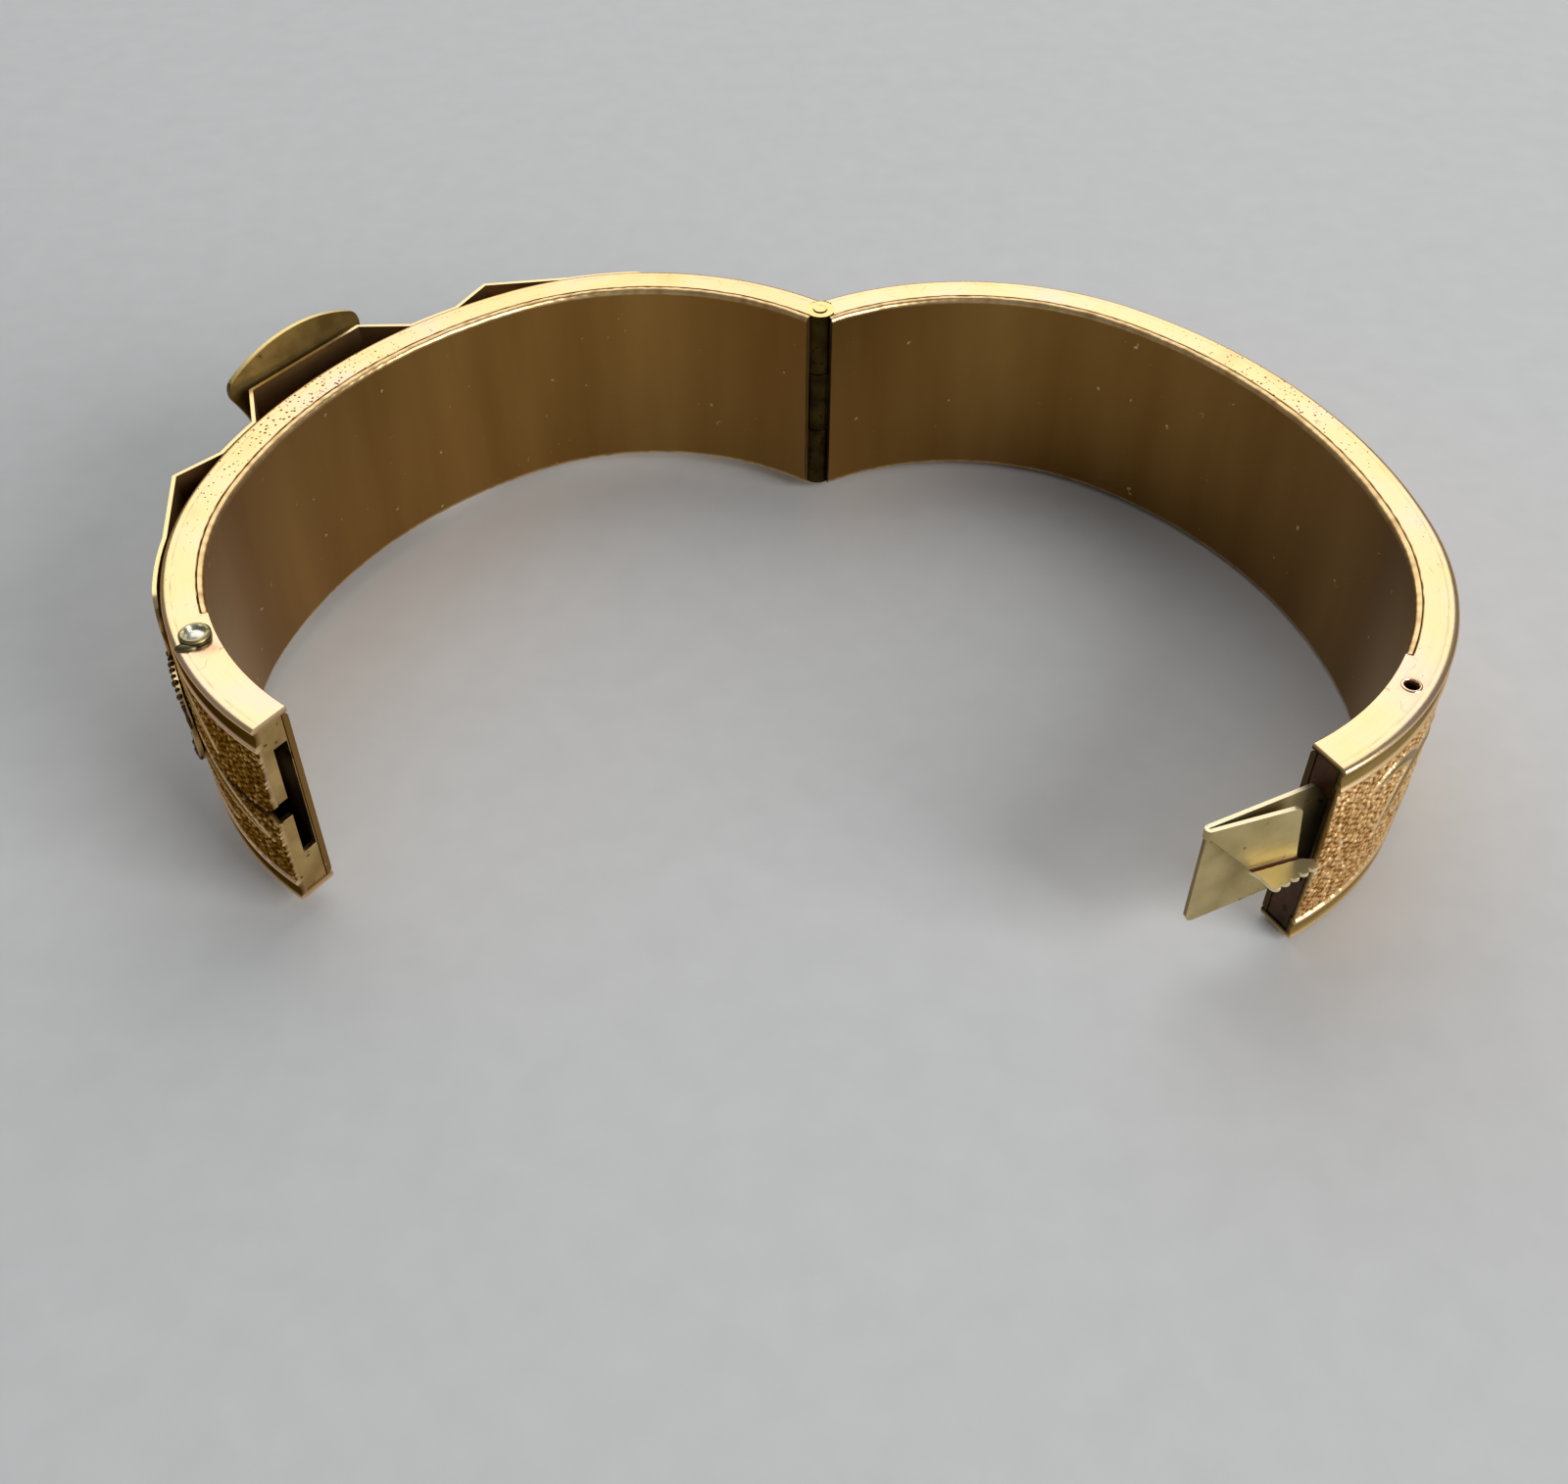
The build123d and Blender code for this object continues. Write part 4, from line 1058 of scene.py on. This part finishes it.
def return_leaf():
    """Rows from the upper edge down its face, round the bend and out over the thumb-piece."""
    share = np.linspace(0, 1, RETURN_COLUMNS)
    rows = []
    for z in np.concatenate([TONGUE_HIGH - FOLD_HEIGHT * np.linspace(0, 1, EDGE_ROWS),
                             np.linspace(fold_low, thumb_low + BEND, FACE_ROWS - EDGE_ROWS + 1)[1:]]):
        fall = (fold_low - z) / (fold_low - thumb_low)
        left = -REACH + np.clip(fall, 0, 1) * (REACH - THUMB_START)
        corner = TOP_CORNER - max(TOP_CORNER**2 - max(z - TONGUE_HIGH + TOP_CORNER, 0) ** 2, 0) ** 0.5
        right = -SETBACK - SLOPE * (z - thumb_low) / (TONGUE_HIGH - thumb_low) - corner
        x = left + (right - left) * share
        rows.append(np.stack([x, return_y(x), 0 * x + z], -1))
    for turn in np.linspace(0, pi / 2, BEND_ROWS + 1)[1:]:
        x = np.linspace(left, right, RETURN_COLUMNS)
        y = return_y(x) - BEND * (1 - cos(turn))
        rows.append(np.stack([x, y, 0 * x + thumb_low + BEND * (1 - sin(turn))], -1))
    lobe = (THUMB_START - THUMB_END) / LOBES
    for out in np.linspace(0, 1, THUMB_ROWS + 1)[1:]:
        wide = sin(min(out * 2.2, 1) * pi / 2)
        ends = left - (THUMB_START + left) * wide, right - (THUMB_END + right) * wide
        x = np.linspace(*ends, RETURN_COLUMNS)
        from_lobe = np.mod(x + THUMB_END, lobe) - lobe / 2
        scallop = np.sqrt(np.clip((lobe / 2) ** 2 - from_lobe**2, 0, None))
        edge = clasp_y - DEPTH - THUMB_RISE + lobe / 2 - scallop
        start = return_y(x) - BEND
        y = start + (edge - start) * out
        droop = THUMB_DROOP * np.sin(pi * np.clip((start - y) / (start - clasp_y + DEPTH + 0.6), 0, 1))
        rows.append(np.stack([x, y, thumb_low - droop], -1))
    return np.array(rows)


print("points of the return leaf:", return_leaf().shape[:2])


# %% Three sheets in one tongue
def bent(middle, thickness):
    """Points and faces of a bent sheet from the grid of its middle, and where its rim faces start."""
    across, along = np.gradient(middle, axis=(0, 1))
    normal = np.cross(along, across)
    normal = normal / np.linalg.norm(normal, axis=-1, keepdims=True)
    rows, columns = middle.shape[:2]
    points = np.concatenate([(middle + normal * thickness * k).reshape(-1, 3) for k in (0.5, -0.5)])
    number = np.arange(2 * rows * columns).reshape(2, rows, columns)
    around = [(0, slice(None)), (slice(None), -1), (-1, slice(None, None, -1)), (slice(None, None, -1), 0)]
    rim = np.vstack([strip(number[0][line], number[1][line]) for line in around])
    sides = np.vstack([grid(rows, columns), grid(rows, columns, rows * columns)])
    return points, np.vstack([sides, rim]), len(sides)


sheets, wear = [], []
for name, middle in {"base": base_leaf(), "fold": fold(), "return": return_leaf()}.items():
    points, faces, rim_start = bent(middle, SHEET)
    sheets.append((points, faces))
    # The sheets' cut rims are painted bright as highlights
    satin, rim = np.zeros(rim_start), np.full(len(faces) - rim_start, 0.8)
    rows, columns = middle.shape[0] - 1, middle.shape[1] - 1
    if name == "base":
        # The base leaf's free end rim is painted darker, as shade
        rim[columns : columns + rows] = -0.5
    if name == "return":
        # The bend is painted dark as the shade of the crease, and thumbs keep what is beyond it bright
        row = np.tile(np.repeat(np.arange(rows), columns), 2)
        satin[row > FACE_ROWS] = -0.95
        satin[row >= FACE_ROWS + BEND_ROWS] = 0.35
    wear += [satin, rim]
tongue = make_piece("spring_tongue_folded", *joined(sheets), 1, "spring_brass", spring_brass,
                    ["spring_tongue"], {"wear": np.concatenate(wear)})
filed(tongue, 0.05)

# %% [markdown]
# ## Solder and beads
#
# A lump of grey solder fills the corner between the stud and the side face. The half oval tips of the
# strap are edged with drawn beaded wire. Its beads show as lumps in the outline near the clasp, and
# finer ones run on towards the point. At the hinge end they are bedded deeper.


# %% Solder lump
def ball(centre, axes, rows=9, columns=16):
    """Points and faces of a ball stretched along three axes."""
    fall, turn = np.linspace(0, pi, rows)[:, None], np.linspace(0, 2 * pi, columns)
    unit = np.stack([np.sin(fall) * np.cos(turn), np.sin(fall) * np.sin(turn), np.cos(fall) + 0 * turn], -1)
    return (np.asarray(centre) + unit @ np.asarray(axes)).reshape(-1, 3), grid(rows, columns)


stud_angle = float(outward(half_arc - STUD_FROM_CLASP))
away = np.array([sin(stud_angle), cos(stud_angle), 0])
onward = np.array([cos(stud_angle), -sin(stud_angle), 0])
lump_axes = [0.75 * away - 0.25 * onward, 0.12 * away + 0.4 * onward, (0, 0, 0.3)]
points, faces = ball(stud_place + 0.85 * away + 0.75 * onward, lump_axes)
make_piece("stud_solder_lump", points, faces, -1, "solder_grey", solder,
           values={"wear": np.full(len(points), -0.7)})

# %% Beads along the strap's tips
STRAP_OUT, STRAP_HALF, TIP_LENGTH, TIP_HEIGHT = {-1: 3.29, 1: 3.5}, 27.0, 5.8, 7.0
BEADED_SHARE, FINER_OVER, BEAD_RADII, BEAD_PITCHES = 0.78, [0.45, 0.6], (0.25, 0.13), (2.0, 1.2)
FIRST_BEAD, INSET_RUN, INSET_RISE, UNEVEN_BY, RHYTHM = 0.1, 0.1, 0.05, 0.18, 7.3

turns = np.linspace(0, pi / 2, 400)
line = np.stack([TIP_LENGTH * np.sin(turns), TIP_HEIGHT / 2 * np.cos(turns)], -1)
length = np.concatenate([[0], np.cumsum(np.hypot(*np.diff(line, axis=0).T))])
beads = []
for end in (-1, 1):
    place = FIRST_BEAD
    while place < BEADED_SHARE * length[-1]:
        run, rise = (np.interp(place, length, line[:, i]) for i in (0, 1))
        size, pitch = (np.interp(place / length[-1], FINER_OVER, ends) for ends in (BEAD_RADII, BEAD_PITCHES))
        for up in (1, -1):
            arc = middle_arc + end * (STRAP_HALF + run - INSET_RUN)
            centre = band(arc, STRAP_OUT[end], middle_height + up * (rise - INSET_RISE))
            uneven = 1 + UNEVEN_BY * sin(RHYTHM * place + up)
            beads.append(ball(centre, size * uneven * np.eye(3), 7, 10))
        place += pitch * size
points, faces = joined(beads)
make_piece("beaded_edges", points, faces, -1, "leaf_brass", leaf_brass,
           values={"wear": np.zeros(len(points))})

# %% [markdown]
# ## Floor, light and camera
#
# A jewel on a matt pale sheet, a large soft light behind it and a weaker one in front. Polished metal
# shows what it mirrors, and from this angle the side faces mirror the wall behind the bangle, so the
# large light stands there. The camera is where the photograph was taken from, worked out from the
# oval and the band's parallel edges.

# %% Floor
FLOOR_REACH = 1.5
floor_mesh = bpy.data.meshes.new("studio_floor")
corners = [(x * FLOOR_REACH, y * FLOOR_REACH, 0) for x, y in ((-1, -1), (1, -1), (1, 1), (-1, 1))]
floor_mesh.from_pydata(corners, [], [(0, 1, 2, 3)])
floor = placed("studio_floor", floor_mesh)
card, tree = new_material("matt_card")
fibre = node(tree, "TexNoise", {"Scale": 900.0, "Detail": 4.0})
tone = node(tree, "ValToRGB", [fibre], stops=[(0.3, "#C6C6C5"), (0.7, "#CACAC9")])
surface = node(tree, "BsdfPrincipled", {"Base Color": tone, "Roughness": 0.75})
node(tree, "OutputMaterial", {"Surface": surface}, None)
floor_mesh.materials.append(card)
print("the floor is", 2 * FLOOR_REACH, "m wide")

# %% Lights
world = bpy.data.worlds.new("studio")
bpy.context.scene.world = world
world.use_nodes = True
backdrop = world.node_tree.nodes["Background"].inputs
backdrop["Color"].default_value, backdrop["Strength"].default_value = linear("#B9BCC2"), 0.4
bpy.context.scene.view_settings.view_transform = "Standard"


def soft_light(name, place, size, power):
    """A square area light that faces the bangle."""
    lamp = bpy.data.lights.new(name, "AREA")
    lamp.size, lamp.energy = size, power
    light = placed(name, lamp)
    light.location = place
    light.rotation_euler = (-Vector(place)).to_track_quat("-Z", "Y").to_euler()
    print(name, "gives", power, "W from", round(Vector(place).length, 2), "m")


soft_light("large_window", (-0.05, 0.62, 0.62), 1.15, 5.6)
soft_light("right_fill", (0.62, -0.35, 0.35), 0.45, 5.0)

# %% Camera
CAMERA_PLACE = np.array([2.83, -126.36, 95.91 - middle_height])
CAMERA_TURN, CAMERA_PITCH, CAMERA_ROLL = radians(2.58), radians(45.92), radians(0.226)
SENSOR_MM, LENS_MM, NEAREST_M = 36.0, 40.05, 0.005

lens = bpy.data.cameras.new("camera")
lens.sensor_width, lens.lens, lens.clip_start = SENSOR_MM, LENS_MM, NEAREST_M
camera = placed("camera", lens)
level = np.array([cos(CAMERA_TURN), sin(CAMERA_TURN), 0])
ahead = np.array([-sin(CAMERA_TURN), cos(CAMERA_TURN), 0]) * cos(CAMERA_PITCH) - UP * sin(CAMERA_PITCH)
top = np.cross(level, ahead)
right = cos(CAMERA_ROLL) * level + sin(CAMERA_ROLL) * top
top = cos(CAMERA_ROLL) * top - sin(CAMERA_ROLL) * level
turned = np.stack([lean @ right, lean @ top, -(lean @ ahead)], 1)
camera.rotation_euler = Matrix(turned.tolist()).to_euler()
camera.location = 0.001 * lean @ CAMERA_PLACE + pin_place
bpy.context.scene.camera = camera
print("camera at", [round(c, 4) for c in camera.location])
